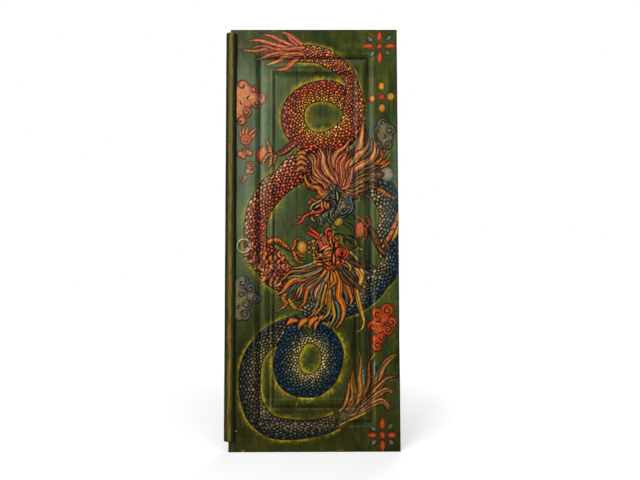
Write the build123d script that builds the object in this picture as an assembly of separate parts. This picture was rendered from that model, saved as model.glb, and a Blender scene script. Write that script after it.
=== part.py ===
"""One leaf of a pair of painted temple doors: a framed and planked wooden leaf, 800 x 2000 mm.

Two stiles and two rails, joined by wedged through tenons, carry three planks in a groove. Mitred
mouldings are planted round the field, battens hold the planks flat behind, a meeting strip covers
the gap to the other leaf, and a ring hangs in an eye for pulling the leaf. Two dragons, clouds,
pearls and flowers are carved in low relief straight across all the boards.

X runs across the leaf with the hinge side at +X, -Y is the carved face, Z is up. The origin is the
middle of the bottom edge. All lengths are millimetres.
"""
import os
from math import atan2, cos, pi, sin, sqrt

from build123d import *

# The leaf and its frame
LEAF_WIDTH = 800
LEAF_HEIGHT = 2000
LEAF_THICKNESS = 40
STILE_WIDTH = 140
RAIL_WIDTH = 140
EDGE_ROUND_WIDTH = 24
EDGE_ROUND_DROP = 8

# The planted moulding, measured from the frame's inner edge and down from the frame's face
MOULDING_WIDTH = 74
CREST_AT = 28
CREST_DROP = 3
SHOULDER_AT = 56
SHOULDER_DROP = 6
FIELD_DROP = 13
FOOT_LIP = 1.5
SWEEP_MIDDLE = (0.45, 0.72)
HOLLOW_MIDDLE = (0.38, 0.68)

# The planks of the field, and the groove that holds them
PLANK_THICKNESS = 17
PLANK_SEAM_LEFT = -83
PLANK_SEAM_RIGHT = 75
PLANK_GAP = 0.4
GROOVE_DEPTH = 12
GROOVE_CLEARANCE = 0.2

# Tenons and their wedges
TENON_THICKNESS = 14
TENON_INSET = 28
TENON_CLEARANCE = 0.2
WEDGE_LENGTH = 60
WEDGE_THICKNESS = 6
WEDGE_TIP = 1

# Battens behind the planks, slid into dovetailed grooves
BATTEN_WIDTH = 44
BATTEN_THICKNESS = 15
BATTEN_FOOT_DEPTH = 6
BATTEN_FLARE = 3
BATTEN_END_GAP = 0.5
BATTEN_FROM_RAIL = 280

# The meeting strip and its nails
STRIP_WIDTH = 50
STRIP_OVERHANG = 20
STRIP_BOTTOM = 55
STRIP_TOP_GAP = 23
STRIP_PROUD = 22
STRIP_EDGE = 7
STRIP_CROWN = 16
FLANK_MIDDLE = (0.56, 0.58)
NAIL_ABOVE_RAIL = 68
NAIL_BELOW_RAIL = 97
NAIL_COUNT = 6
NAIL_HEAD = 9
NAIL_HEAD_HEIGHT = 2.5
NAIL_SHANK = 4
NAIL_LENGTH = 44
NAIL_INSET = 7
NAIL_CLEARANCE = 0.1

# The ring pull and the eye that it hangs in
RING_INSET = 69
EYE_Z = 990
RING_RADIUS = 31
RING_WIRE = 6
EYE_WIRE = 4
EYE_BORE = 8.6
EYE_STAND = 9
RING_SEAT_GAP = 0.3
CLINCH_LENGTH = 22
CLINCH_BEND = 4
NECK_BEND = 4
LEG_GAP = 0.2
LEG_HOLE_CLEARANCE = 1

# The carving: how far it stands proud of the board under it, and the leaf that it was drawn for
BODY_RELIEF = 3
HEAD_RELIEF = 5
DRAWN_WIDTH = 800
DRAWN_HEIGHT = 2000
TONGUE_FULLNESS = 0.34
PETAL_WIDEST = 0.6
CARVING_MARGIN = 1.5

# What follows from these sizes
PLACES = ("left", "right", "top", "bottom")
HALF_WIDTH = LEAF_WIDTH / 2
FACE_Y = -LEAF_THICKNESS / 2
BACK_Y = LEAF_THICKNESS / 2
OPENING_X = HALF_WIDTH - STILE_WIDTH
OPENING_BOTTOM = RAIL_WIDTH
OPENING_TOP = LEAF_HEIGHT - RAIL_WIDTH
FIELD_Y = FACE_Y + FIELD_DROP
PLANK_BACK_Y = FIELD_Y + PLANK_THICKNESS
TENON_HEIGHT = RAIL_WIDTH - TENON_INSET - GROOVE_DEPTH
STRIP_TOP = LEAF_HEIGHT - STRIP_TOP_GAP
RING_X = -HALF_WIDTH + RING_INSET
CARVING_REACH = LEAF_THICKNESS


# Boards of the frame

def edge_cutter(lift):
    """What is planed off the frame's inner edges to round them, mitred at the four corners."""
    face = FACE_Y - lift
    low = face + EDGE_ROUND_DROP
    clear = face - EDGE_ROUND_DROP
    radius = (EDGE_ROUND_WIDTH**2 + EDGE_ROUND_DROP**2) / (2 * EDGE_ROUND_DROP)
    half = EDGE_ROUND_WIDTH / 2
    middle = (half, face + radius - sqrt(radius**2 - half**2))
    section = make_face([
        ThreePointArc((0, face), middle, (EDGE_ROUND_WIDTH, low)),
        Polyline((EDGE_ROUND_WIDTH, low), (EDGE_ROUND_WIDTH, clear), (0, clear), (0, face)),
    ])
    return framed(section, EDGE_ROUND_WIDTH, OPENING_X + EDGE_ROUND_WIDTH, EDGE_ROUND_WIDTH)


def framed(section, width, outer_x, beyond):
    """A section (inwards, depth) run round the opening and mitred, its outer edge at outer_x."""
    pieces = [framed_side(section, width, outer_x, beyond, place) for place in PLACES]
    return pieces[0] + pieces[1:]


def framed_side(section, width, outer_x, beyond, place):
    """One mitred side of such a run; beyond is how far it starts outside the opening."""
    low = OPENING_BOTTOM - beyond
    high = OPENING_TOP + beyond
    upright = place in ("left", "right")
    length = high - low if upright else 2 * outer_x
    starts = {
        "left": ((-outer_x, 0, low), (1, 0, 0), (0, 0, 1)),
        "right": ((outer_x, 0, high), (-1, 0, 0), (0, 0, -1)),
        "bottom": ((outer_x, 0, low), (0, 0, 1), (-1, 0, 0)),
        "top": ((-outer_x, 0, high), (0, 0, -1), (1, 0, 0)),
    }
    origin, inwards, along = starts[place]
    run = extrude(Plane(origin, x_dir=inwards, z_dir=along) * section, length, dir=along)
    inner = length / 2 - width
    outline = Polyline((-length / 2, 0), (length / 2, 0), (inner, width), (-inner, width), close=True)
    plan = extrude(Plane.XZ * make_face(outline), CARVING_REACH, both=True)
    turns = {"bottom": 0, "top": 180, "left": 90, "right": -90}
    middle = (low + high) / 2
    centres = {
        "bottom": (0, 0, low), "top": (0, 0, high),
        "left": (-outer_x, 0, middle), "right": (outer_x, 0, middle),
    }
    return run & (Pos(*centres[place]) * (Rot(0, turns[place], 0) * plan))


def panel_groove():
    """The groove round the opening that holds the planks' edges."""
    width = 2 * (OPENING_X + GROOVE_DEPTH)
    height = OPENING_TOP - OPENING_BOTTOM + 2 * GROOVE_DEPTH
    front = FIELD_Y - GROOVE_CLEARANCE
    back = PLANK_BACK_Y + GROOVE_CLEARANCE
    middle = (OPENING_BOTTOM + OPENING_TOP) / 2
    return Pos(0, (front + back) / 2, middle) * Box(width, back - front, height)


def stile(side, lift):
    """An upright of the frame at side * HALF_WIDTH, standing the full height."""
    thickness = LEAF_THICKNESS + lift
    x = side * (HALF_WIDTH - STILE_WIDTH / 2)
    board = Pos(x, BACK_Y - thickness / 2, LEAF_HEIGHT / 2) * Box(STILE_WIDTH, thickness, LEAF_HEIGHT)
    return board - edge_cutter(lift) - panel_groove()


def rail(top, lift):
    """A cross rail between the stiles, its grooved edge towards the field."""
    thickness = LEAF_THICKNESS + lift
    z = LEAF_HEIGHT - RAIL_WIDTH / 2 if top else RAIL_WIDTH / 2
    board = Pos(0, BACK_Y - thickness / 2, z) * Box(2 * OPENING_X, thickness, RAIL_WIDTH)
    return board - edge_cutter(lift) - panel_groove()


def tenon(side, top, clearance):
    """The tenon of a rail, through the stile to its outer edge, or its mortise with clearance."""
    middle = TENON_INSET + TENON_HEIGHT / 2
    z = LEAF_HEIGHT - middle if top else middle
    x = side * (OPENING_X + STILE_WIDTH / 2)
    thickness = TENON_THICKNESS + 2 * clearance
    return Pos(x, 0, z) * Box(STILE_WIDTH, thickness, TENON_HEIGHT + 2 * clearance)


def wedge(side, top, upper):
    """One oak wedge, driven into a saw cut near the edge of a tenon's end."""
    middle = TENON_INSET + TENON_HEIGHT / 2
    z = LEAF_HEIGHT - middle if top else middle
    z = z + (TENON_HEIGHT / 4 if upper else -TENON_HEIGHT / 4)
    outer = side * HALF_WIDTH
    inner = side * (HALF_WIDTH - WEDGE_LENGTH)
    outline = Polyline(
        (outer, z - WEDGE_THICKNESS / 2), (outer, z + WEDGE_THICKNESS / 2),
        (inner, z + WEDGE_TIP / 2), (inner, z - WEDGE_TIP / 2), close=True,
    )
    return extrude(Plane.XZ * make_face(outline), TENON_THICKNESS / 2, both=True)


# Mouldings and planks

def between(start, end, shares):
    """The point at these shares of the way across and down from start to end."""
    across = start[0] + shares[0] * (end[0] - start[0])
    return across, start[1] + shares[1] * (end[1] - start[1])


def moulding_section(lift):
    """Section of the planted moulding: across from the frame's edge inwards, and depth."""
    valley = FACE_Y + EDGE_ROUND_DROP - lift
    crest = FACE_Y + CREST_DROP - lift
    shoulder = FACE_Y + SHOULDER_DROP - lift
    foot = FIELD_Y - FOOT_LIP - lift
    sweep = between((0, valley), (CREST_AT, crest), SWEEP_MIDDLE)
    hollow = between((SHOULDER_AT, shoulder), (MOULDING_WIDTH, foot), HOLLOW_MIDDLE)
    outline = Polyline(
        (MOULDING_WIDTH, foot), (MOULDING_WIDTH, FIELD_Y), (0, FIELD_Y), (0, valley),
    )
    return make_face([
        outline,
        ThreePointArc((0, valley), sweep, (CREST_AT, crest)),
        Line((CREST_AT, crest), (SHOULDER_AT, shoulder)),
        ThreePointArc((SHOULDER_AT, shoulder), hollow, (MOULDING_WIDTH, foot)),
    ])


def moulding(place, lift):
    """One of the four mitred strips planted on the planks against the frame."""
    return framed_side(moulding_section(lift), MOULDING_WIDTH, OPENING_X, 0, place)


def plank(left, right, lift):
    """A board of the field, its outer edges in the frame's groove."""
    housed = GROOVE_DEPTH - PLANK_GAP
    bottom = OPENING_BOTTOM - housed
    top = OPENING_TOP + housed
    depth = PLANK_THICKNESS + lift
    centre_y = PLANK_BACK_Y - depth / 2
    board = Box(right - left, depth, top - bottom)
    return Pos((left + right) / 2, centre_y, (top + bottom) / 2) * board


def batten_heights():
    """The battens' middles: one near each rail and one half-way."""
    low = OPENING_BOTTOM + BATTEN_FROM_RAIL
    high = OPENING_TOP - BATTEN_FROM_RAIL
    return low, (low + high) / 2, high


def batten(z, clearance):
    """A sliding batten with a dovetailed foot in the planks' backs, or its groove."""
    half = BATTEN_WIDTH / 2 + clearance
    foot = PLANK_BACK_Y - BATTEN_FOOT_DEPTH - clearance
    outline = Polyline(
        (foot, -half - BATTEN_FLARE), (foot, half + BATTEN_FLARE), (PLANK_BACK_Y, half),
        (foot + BATTEN_THICKNESS, half), (foot + BATTEN_THICKNESS, -half), (PLANK_BACK_Y, -half),
        close=True,
    )
    reach = OPENING_X - BATTEN_END_GAP + (GROOVE_DEPTH if clearance else 0)
    return Pos(0, 0, z) * extrude(Plane.YZ * make_face(outline), reach, both=True)


# Meeting strip

def meeting_strip():
    """The rounded strip nailed over the free edge: low sides, hollow flanks and a flat crown."""
    half = STRIP_WIDTH / 2
    crown = STRIP_CROWN / 2
    edge = FACE_Y - STRIP_EDGE
    front = FACE_Y - STRIP_PROUD
    flank_x, flank_y = between((crown, edge), (half, front), FLANK_MIDDLE)
    outline = Polyline((half, edge), (half, FACE_Y), (-half, FACE_Y), (-half, edge))
    section = make_face([
        outline,
        ThreePointArc((-half, edge), (-flank_x, flank_y), (-crown, front)),
        Line((-crown, front), (crown, front)),
        ThreePointArc((crown, front), (flank_x, flank_y), (half, edge)),
    ])
    x = -HALF_WIDTH - STRIP_OVERHANG + half
    return Pos(x, 0, STRIP_BOTTOM) * extrude(section, STRIP_TOP - STRIP_BOTTOM, dir=(0, 0, 1))


def strip_nail(z):
    """A forged nail through the strip into the stile, its domed head on the crown."""
    rim = NAIL_HEAD / 2
    shank = NAIL_SHANK / 2
    radius = (rim**2 + NAIL_HEAD_HEIGHT**2) / (2 * NAIL_HEAD_HEIGHT)
    dome = (rim / 2, NAIL_HEAD_HEIGHT - radius + sqrt(radius**2 - (rim / 2) ** 2))
    half_section = make_face([
        Polyline((0, NAIL_HEAD_HEIGHT), (0, -NAIL_LENGTH), (shank, -NAIL_LENGTH), (shank, 0), (rim, 0)),
        ThreePointArc((rim, 0), dome, (0, NAIL_HEAD_HEIGHT)),
    ])
    nail = revolve(Plane.XZ * half_section, Axis.Z)
    return Pos(-HALF_WIDTH + NAIL_INSET, FACE_Y - STRIP_PROUD, z) * (Rot(90, 0, 0) * nail)


def nail_hole(z):
    """The hole that a strip nail fills, a little wider and deeper."""
    depth = NAIL_LENGTH + NAIL_CLEARANCE
    hole = Rot(90, 0, 0) * Cylinder(NAIL_SHANK / 2 + NAIL_CLEARANCE, depth)
    return Pos(-HALF_WIDTH + NAIL_INSET, FACE_Y - STRIP_PROUD + depth / 2, z) * hole


def nail_heights():
    """The nails' heights, evenly spaced between the rails and clear of the tenons."""
    first = OPENING_BOTTOM + NAIL_ABOVE_RAIL
    last = OPENING_TOP - NAIL_BELOW_RAIL
    return [first + i * (last - first) / (NAIL_COUNT - 1) for i in range(NAIL_COUNT)]


# Ring and eye

def eye_place():
    """Centre of the eye's bore."""
    return RING_X, FACE_Y - BODY_RELIEF - EYE_STAND, EYE_Z


def leg_offset():
    """Half the distance between the two legs, which lie side by side."""
    return (EYE_WIRE + LEG_GAP) / 2


def eye_path():
    """Middle line of the split eye: a clinched leg, the round eye and the other clinched leg."""
    x, y, z = eye_place()
    radius = (EYE_BORE + EYE_WIRE) / 2
    offset = leg_offset()
    neck = y + sqrt((radius + NECK_BEND) ** 2 - (offset + NECK_BEND) ** 2)
    turn = atan2(offset + NECK_BEND, neck - y)
    meet = (radius * cos(turn), radius * sin(turn))
    half_turn = (pi / 2 - turn) / 2
    neck_middle = (
        neck - NECK_BEND * sin(half_turn),
        offset + NECK_BEND - NECK_BEND * cos(half_turn),
    )
    back = BACK_Y + EYE_WIRE / 2
    bend = back - CLINCH_BEND
    corner = CLINCH_BEND * (1 - sqrt(0.5))
    tip = offset + CLINCH_BEND + CLINCH_LENGTH
    edges = [ThreePointArc((y + meet[0], z + meet[1]), (y - radius, z), (y + meet[0], z - meet[1]))]
    for way in (1, -1):
        near = z + way * offset
        edges.append(ThreePointArc(
            (y + meet[0], z + way * meet[1]), (neck_middle[0], z + way * neck_middle[1]), (neck, near),
        ))
        edges.append(Line((neck, near), (bend, near)))
        edges.append(ThreePointArc(
            (bend, near), (back - corner, near + way * corner), (back, near + way * CLINCH_BEND),
        ))
        edges.append(Line((back, near + way * CLINCH_BEND), (back, z + way * tip)))
    return Plane((x, 0, 0), x_dir=(0, 1, 0), z_dir=(1, 0, 0)) * Wire(edges)


def pull_eye():
    """The eye, bent from round iron and clinched behind the stile."""
    path = eye_path()
    section = Plane(path @ 0, z_dir=path % 0) * Circle(EYE_WIRE / 2)
    return sweep(section, path)


def leg_hole():
    """The slot through the stile that the eye's two legs fill."""
    x = RING_X
    radius = EYE_WIRE / 2 + LEG_HOLE_CLEARANCE
    reach = 2 * LEAF_THICKNESS
    slot = SlotCenterToCenter(2 * leg_offset(), 2 * radius, rotation=90)
    return extrude(Plane.XZ * (Pos(x, EYE_Z) * slot), reach, both=True)


def ring_axis_z():
    """Height of the ring's wire where it hangs in the eye."""
    play = (EYE_BORE - RING_WIRE) / 2
    return EYE_Z - play + RING_SEAT_GAP


def pull_ring():
    """The plain round ring, hanging flat before the stile."""
    x, y, _ = eye_place()
    ring = Rot(90, 0, 0) * Torus(RING_RADIUS, RING_WIRE / 2)
    return Pos(x, y, ring_axis_z() - RING_RADIUS) * ring


# Outlines of the carving, seen from the front as (x, z) on a leaf of the drawn size

def spread(point):
    """A place in the drawing, moved with the leaf's real width and height."""
    return point[0] * LEAF_WIDTH / DRAWN_WIDTH, point[1] * LEAF_HEIGHT / DRAWN_HEIGHT


def closed(*points):
    """A smooth closed outline through a few points."""
    return make_face(Spline(*[spread(point) for point in points], periodic=True))


def cornered(*runs):
    """An outline of smooth runs that meet in corners; each run starts where the last one ends."""
    edges = []
    for index, run in enumerate(runs):
        end = runs[(index + 1) % len(runs)][0]
        points = [spread(point) for point in list(run) + [end]]
        edges.append(Spline(*points) if len(points) > 2 else Line(*points))
    return make_face(edges)


def tongue(root, tip, width, bend=0.0):
    """A flame, finger or lock of hair: from a root of this width to a point, bowed by bend."""
    root = spread(root)
    tip = spread(tip)
    length = sqrt((tip[0] - root[0]) ** 2 + (tip[1] - root[1]) ** 2)
    side = (-(tip[1] - root[1]) / length, (tip[0] - root[0]) / length)
    middle = ((root[0] + tip[0]) / 2, (root[1] + tip[1]) / 2)

    def beside(point, distance):
        return point[0] + side[0] * distance, point[1] + side[1] * distance

    bow = bend * length
    left = beside(root, width / 2)
    right = beside(root, -width / 2)
    return make_face([
        ThreePointArc(left, beside(middle, bow + TONGUE_FULLNESS * width), tip),
        ThreePointArc(tip, beside(middle, bow - TONGUE_FULLNESS * width), right),
        Line(right, left),
    ])


def disc(x, z, radius):
    """A round boss, such as a pearl."""
    return Pos(*spread((x, z))) * Circle(radius)


def petal(x, z, base, tip, width, turn):
    """A petal from base to tip along the direction turn, in degrees from straight up."""
    middle = base + PETAL_WIDEST * (tip - base)
    outline = make_face([
        ThreePointArc((0, base), (-width / 2, middle), (0, tip)),
        ThreePointArc((0, tip), (width / 2, middle), (0, base)),
    ])
    return Pos(*spread((x, z))) * (Rot(0, 0, -turn) * outline)


def red_coil():
    """The upper dragon's tail, which crosses the top, turns down and winds into a ring."""
    outer = [
        (-80, 1890), (0, 1922), (80, 1899), (132, 1861), (192, 1801), (215, 1730), (238, 1640),
        (228, 1540), (170, 1465), (40, 1412), (-70, 1424), (-143, 1500), (-158, 1580),
        (-138, 1652), (-86, 1709), (0, 1748), (90, 1752),
    ]
    inner = [(152, 1722), (135, 1772), (77, 1812), (0, 1841)]
    egg = closed((145, 1600), (90, 1643), (20, 1655), (-40, 1620), (-38, 1545), (20, 1504), (100, 1535))
    return cornered(outer, inner) - egg


def red_body():
    """The upper dragon's body, from the ring round the left side to its neck."""
    left = [
        (-60, 1430), (-130, 1385), (-150, 1335), (-252, 1263), (-310, 1160), (-331, 1040),
        (-322, 910), (-270, 830), (-225, 762), (-150, 728),
    ]
    right = [
        (-60, 800), (-97, 855), (-172, 932), (-221, 992), (-226, 1040), (-195, 1138),
        (-126, 1214), (-54, 1263), (-18, 1330),
    ]
    return cornered(left, right)


def red_flames():
    """The seven flames at the end of the upper dragon's tail."""
    return [
        tongue((-70, 1912), (-160, 1988), 44, 0.12),
        tongue((-80, 1912), (-244, 1974), 44, 0.10),
        tongue((-90, 1905), (-321, 1944), 42, 0.08),
        tongue((-95, 1892), (-348, 1902), 40, 0.05),
        tongue((-95, 1880), (-284, 1854), 38, -0.05),
        tongue((-80, 1872), (-232, 1827), 36, -0.08),
        tongue((-60, 1866), (-183, 1804), 34, -0.10),
    ]


def blue_body():
    """The lower dragon's body, down the right side and under the other dragon's mane."""
    outer = [(397, 1230), (397, 1000)]
    corner = [(397, 840), (367, 786), (312, 718), (252, 667), (172, 630), (92, 546)]
    inner = [
        (-130, 575), (-100, 650), (60, 665), (218, 757), (287, 843), (321, 903), (292, 970),
        (318, 1085), (290, 1160),
    ]
    return cornered(outer, corner, inner)


def blue_loop():
    """The loop that the lower dragon's body makes."""
    ring = closed(
        (-160, 492), (-189, 406), (-172, 313), (-100, 258), (-10, 248), (73, 288), (123, 369),
        (133, 463), (92, 546), (0, 598), (-100, 572),
    )
    hole = closed((-20, 506), (-70, 465), (-78, 410), (-35, 357), (20, 380), (34, 445))
    return ring - hole


def blue_strand():
    """The lower dragon's tail, down the left side and along the bottom."""
    outer = [
        (-115, 624), (-201, 587), (-264, 538), (-318, 463), (-350, 334), (-339, 221),
        (-290, 126), (-206, 78), (-94, 67), (0, 75), (84, 95),
    ]
    inner = [
        (150, 130), (84, 165), (-10, 137), (-158, 138), (-217, 182), (-251, 252), (-252, 392),
        (-206, 469), (-140, 505),
    ]
    return cornered(outer, inner)


def blue_flames():
    """The eight flames at the end of the lower dragon's tail."""
    return [
        tongue((118, 170), (143, 299), 40, 0.08),
        tongue((135, 170), (185, 374), 44, 0.08),
        tongue((150, 165), (211, 455), 50, 0.06),
        tongue((165, 165), (298, 460), 56, -0.06),
        tongue((175, 160), (393, 452), 58, -0.08),
        tongue((185, 158), (390, 345), 52, -0.08),
        tongue((180, 155), (367, 260), 46, -0.08),
        tongue((150, 150), (343, 187), 44, -0.06),
    ]


def blue_mane():
    """The lower dragon's mane, blown upwards from its brow."""
    return [
        tongue((45, 1224), (-60, 1262), 46, -0.08),
        tongue((60, 1240), (-55, 1330), 30, 0.12),
        tongue((72, 1262), (-40, 1398), 34, 0.20),
        tongue((80, 1275), (8, 1402), 30, 0.18),
        tongue((88, 1285), (22, 1428), 40, 0.13),
        tongue((100, 1300), (75, 1438), 26, 0.10),
        tongue((100, 1310), (177, 1478), 32, 0.18),
        tongue((120, 1300), (190, 1385), 28, 0.18),
        tongue((142, 1225), (215, 1352), 28, 0.16),
        tongue((175, 1290), (236, 1556), 52, -0.04),
        tongue((200, 1310), (262, 1475), 50, -0.10),
        tongue((225, 1325), (289, 1455), 34, -0.14),
    ]


def red_mane():
    """The upper dragon's mane, streaming down and to the left."""
    return [
        tongue((0, 872), (-112, 846), 24, -0.10),
        tongue((5, 850), (-172, 772), 30, -0.10),
        tongue((0, 815), (-190, 724), 36, -0.10),
        tongue((10, 800), (-80, 700), 34, -0.10),
        tongue((35, 800), (-75, 665), 36, -0.10),
        tongue((50, 780), (18, 685), 36, -0.12),
        tongue((22, 700), (-30, 617), 22, 0.10),
        tongue((65, 790), (50, 668), 34, 0.0),
        tongue((90, 800), (62, 567), 36, 0.06),
        tongue((120, 790), (100, 565), 38, 0.12),
        tongue((160, 780), (180, 675), 30, 0.0),
        tongue((205, 830), (195, 545), 40, 0.08),
    ]


def blue_head():
    """The lower dragon's head in profile, mouth open to the left."""
    return cornered(
        [(-22, 1190), (20, 1165), (60, 1195), (85, 1248), (140, 1250), (170, 1215), (187, 1150)],
        [(165, 1105), (120, 1085), (80, 1062), (30, 1058), (14, 1080), (0, 1101), (45, 1128)],
        [(40, 1150), (0, 1150), (-22, 1165)],
    )


def red_head():
    """The upper dragon's head, turned down, mouth open upwards."""
    return cornered(
        [(-8, 985), (-5, 930), (-8, 895), (15, 860), (60, 845), (105, 850), (150, 880), (166, 925)],
        [(150, 952), (118, 975), (110, 1005), (85, 1010), (75, 1042), (48, 1032), (52, 985)],
        [(40, 955), (15, 945), (2, 988)],
    )


def horns():
    """Both pairs of dark horns."""
    return [
        tongue((165, 1195), (304, 1286), 36, -0.08),
        tongue((170, 1185), (300, 1225), 30, -0.06),
        tongue((155, 890), (290, 850), 30, -0.08),
        tongue((125, 860), (235, 738), 34, 0.08),
    ]


def arms():
    """The legs, each reaching out to a pearl, and the feet that push off behind."""
    return [
        tongue((-70, 1440), (-205, 1384), 48, -0.05),
        tongue((-185, 965), (-88, 932), 40, 0.04),
        tongue((292, 985), (238, 1062), 34, -0.10),
        tongue((290, 1235), (392, 1182), 34, -0.05),
        tongue((-95, 740), (-198, 632), 44, 0.12),
        tongue((250, 1308), (330, 1400), 34, -0.05),
        tongue((300, 1335), (355, 1380), 26, -0.05),
    ]


def claws():
    """The fingers that clasp the pearls, each a hooked point."""
    return [
        tongue((-188, 1388), (-230, 1466), 30, -0.16),
        tongue((-190, 1392), (-248, 1335), 24, -0.14),
        tongue((-188, 1380), (-222, 1326), 22, -0.12),
        tongue((-96, 938), (-62, 995), 18, 0.16),
        tongue((-98, 938), (-36, 908), 18, -0.18),
        tongue((-98, 932), (-48, 877), 18, -0.16),
        tongue((236, 1042), (204, 1098), 16, -0.12),
        tongue((250, 1042), (244, 1104), 18, -0.14),
        tongue((244, 1044), (220, 974), 18, 0.20),
    ]


def pearls():
    """The five pearls; the upper left one burns."""
    flames = [
        tongue((-340, 1480), (-348, 1510), 14),
        tongue((-328, 1488), (-333, 1522), 14),
        tongue((-316, 1484), (-312, 1530), 16),
        tongue((-308, 1478), (-272, 1522), 18, 0.10),
    ]
    return flames + [
        disc(-243, 1393, 38), disc(-60, 950, 25), disc(214, 1034, 26), disc(340, 1288, 38),
        disc(-325, 1465, 29),
    ]


def clouds():
    """The six small clouds between the coils."""
    return [
        closed(
            (-365, 1650), (-335, 1735), (-285, 1740), (-250, 1690), (-235, 1610), (-290, 1560),
            (-345, 1575),
        ),
        closed((-365, 1392), (-325, 1425), (-290, 1392), (-325, 1363)),
        closed((-350, 1310), (-310, 1360), (-285, 1310), (-315, 1260)),
        closed((385, 1490), (345, 1560), (295, 1540), (288, 1455), (330, 1418)),
        closed(
            (-362, 700), (-330, 800), (-285, 815), (-255, 740), (-262, 640), (-310, 602),
            (-352, 640),
        ),
        closed((385, 590), (375, 670), (300, 685), (255, 620), (268, 520), (320, 470), (375, 500)),
    ]


def flower(x, z, cross, diagonal=0):
    """A heart with four petals of the length cross, and four more between them if diagonal."""
    shapes = [disc(x, z, 17)]
    for turn in (0, 90, 180, 270):
        shapes.append(petal(x, z, 14, cross, 37, turn))
        if diagonal:
            shapes.append(petal(x, z, 14, diagonal, 34, turn + 45))
    return shapes


def flowers():
    """The three flowers down the right side."""
    return flower(316, 1917, 78, 62) + flower(327, 1669, 72) + flower(316, 75, 72, 56)


def carving_low():
    """All that stands BODY_RELIEF proud, joined where outlines overlap."""
    shapes = [red_body(), blue_body(), blue_loop(), blue_strand()]
    shapes += red_flames() + blue_flames() + clouds() + arms()
    return Sketch() + red_coil() + shapes


def carving_high():
    """All that stands HEAD_RELIEF proud."""
    shapes = [red_head(), blue_head()]
    shapes += pearls() + claws() + horns() + blue_mane() + red_mane() + flowers()
    return Sketch() + shapes


def stand_up(sketch):
    """A drawing of (x, z) as a body through the whole leaf, kept inside the carved area."""
    left = -HALF_WIDTH - STRIP_OVERHANG + STRIP_WIDTH + CARVING_MARGIN
    right = HALF_WIDTH - CARVING_MARGIN
    height = LEAF_HEIGHT - 2 * CARVING_MARGIN
    area = Pos((left + right) / 2, 0, LEAF_HEIGHT / 2) * Box(right - left, CARVING_REACH * 2, height)
    return extrude(Plane.XZ * sketch, CARVING_REACH, both=True) & area


def carved(board, low, high, *cuts):
    """A board with the carving: board(0), raised inside each outline, then cut by its neighbours."""
    body = board(0)
    for lift, outlines in ((BODY_RELIEF, low), (HEAD_RELIEF, high)):
        raised = board(lift) & outlines
        if raised is not None and raised.volume > 0:
            body = body + raised
    for cut in cuts:
        body = body - cut
    return body


def save(shape, name):
    export_step(shape, "parts/" + name + ".step")
    print(name, "solids", len(shape.solids()), "volume", round(shape.volume))


def main():
    os.makedirs("parts", exist_ok=True)
    low = stand_up(carving_low())
    high = stand_up(carving_high())

    for side, name in ((1, "hinge_stile"), (-1, "lock_stile")):
        cuts = [tenon(side, top, TENON_CLEARANCE) for top in (False, True)]
        if side < 0:
            cuts.append(leg_hole())
            cuts += [nail_hole(z) for z in nail_heights()]
        save(carved(lambda lift: stile(side, lift), low, high, *cuts), name)

    for top, name in ((True, "top_rail"), (False, "bottom_rail")):
        wedges = [wedge(side, top, upper) for side in (1, -1) for upper in (True, False)]
        body = carved(lambda lift: rail(top, lift), low, high)
        body = body + tenon(1, top, 0) + tenon(-1, top, 0)
        for one in wedges:
            body = body - one
        save(body, name)

    for place in PLACES:
        save(carved(lambda lift: moulding(place, lift), low, high), "moulding_" + place)

    edge = OPENING_X + GROOVE_DEPTH - PLANK_GAP
    seams = (-edge, PLANK_SEAM_LEFT, PLANK_SEAM_RIGHT, edge)
    field_width = 2 * (OPENING_X - MOULDING_WIDTH)
    field_height = OPENING_TOP - OPENING_BOTTOM - 2 * MOULDING_WIDTH
    middle = (OPENING_TOP + OPENING_BOTTOM) / 2
    field = Pos(0, 0, middle) * Box(field_width, 4 * LEAF_THICKNESS, field_height)
    grooves = [batten(z, GROOVE_CLEARANCE) for z in batten_heights()]
    for index, name in enumerate(("plank_left", "plank_middle", "plank_right")):
        left = seams[index] + PLANK_GAP / 2
        right = seams[index + 1] - PLANK_GAP / 2
        board = carved(lambda lift: plank(left, right, lift), low & field, high & field, *grooves)
        save(board, name)

    for z, name in zip(batten_heights(), ("batten_lower", "batten_middle", "batten_upper")):
        save(batten(z, 0), name)

    strip = meeting_strip()
    for z in nail_heights():
        strip = strip - nail_hole(z)
    save(strip, "meeting_strip")
    save(Compound(children=[strip_nail(z) for z in nail_heights()]), "strip_nails")

    all_wedges = [
        wedge(side, top, upper) for side in (1, -1) for top in (True, False) for upper in (True, False)
    ]
    save(Compound(children=all_wedges), "tenon_wedges")
    save(pull_eye(), "pull_eye")
    save(pull_ring(), "pull_ring")


main()
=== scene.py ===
"""Looks of a carved and painted temple door leaf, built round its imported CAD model."""
import math

import bpy
import numpy as np
from mathutils import Matrix, Vector


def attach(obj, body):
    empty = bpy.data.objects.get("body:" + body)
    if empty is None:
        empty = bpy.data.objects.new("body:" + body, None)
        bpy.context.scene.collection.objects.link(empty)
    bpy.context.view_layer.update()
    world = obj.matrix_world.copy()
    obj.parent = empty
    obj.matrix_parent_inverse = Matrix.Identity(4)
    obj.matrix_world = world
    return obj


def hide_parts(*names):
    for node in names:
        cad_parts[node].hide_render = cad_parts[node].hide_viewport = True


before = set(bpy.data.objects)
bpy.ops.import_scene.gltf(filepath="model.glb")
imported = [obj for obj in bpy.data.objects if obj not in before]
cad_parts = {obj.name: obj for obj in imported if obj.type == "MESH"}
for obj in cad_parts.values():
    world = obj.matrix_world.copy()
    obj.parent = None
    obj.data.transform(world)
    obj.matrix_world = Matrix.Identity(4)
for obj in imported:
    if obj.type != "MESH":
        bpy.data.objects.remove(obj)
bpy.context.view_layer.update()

# The room: the leaf stands upright on a pale plain floor, in soft daylight that
# comes from the upper left and in front, as in the photograph.
scene = bpy.context.scene
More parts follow.
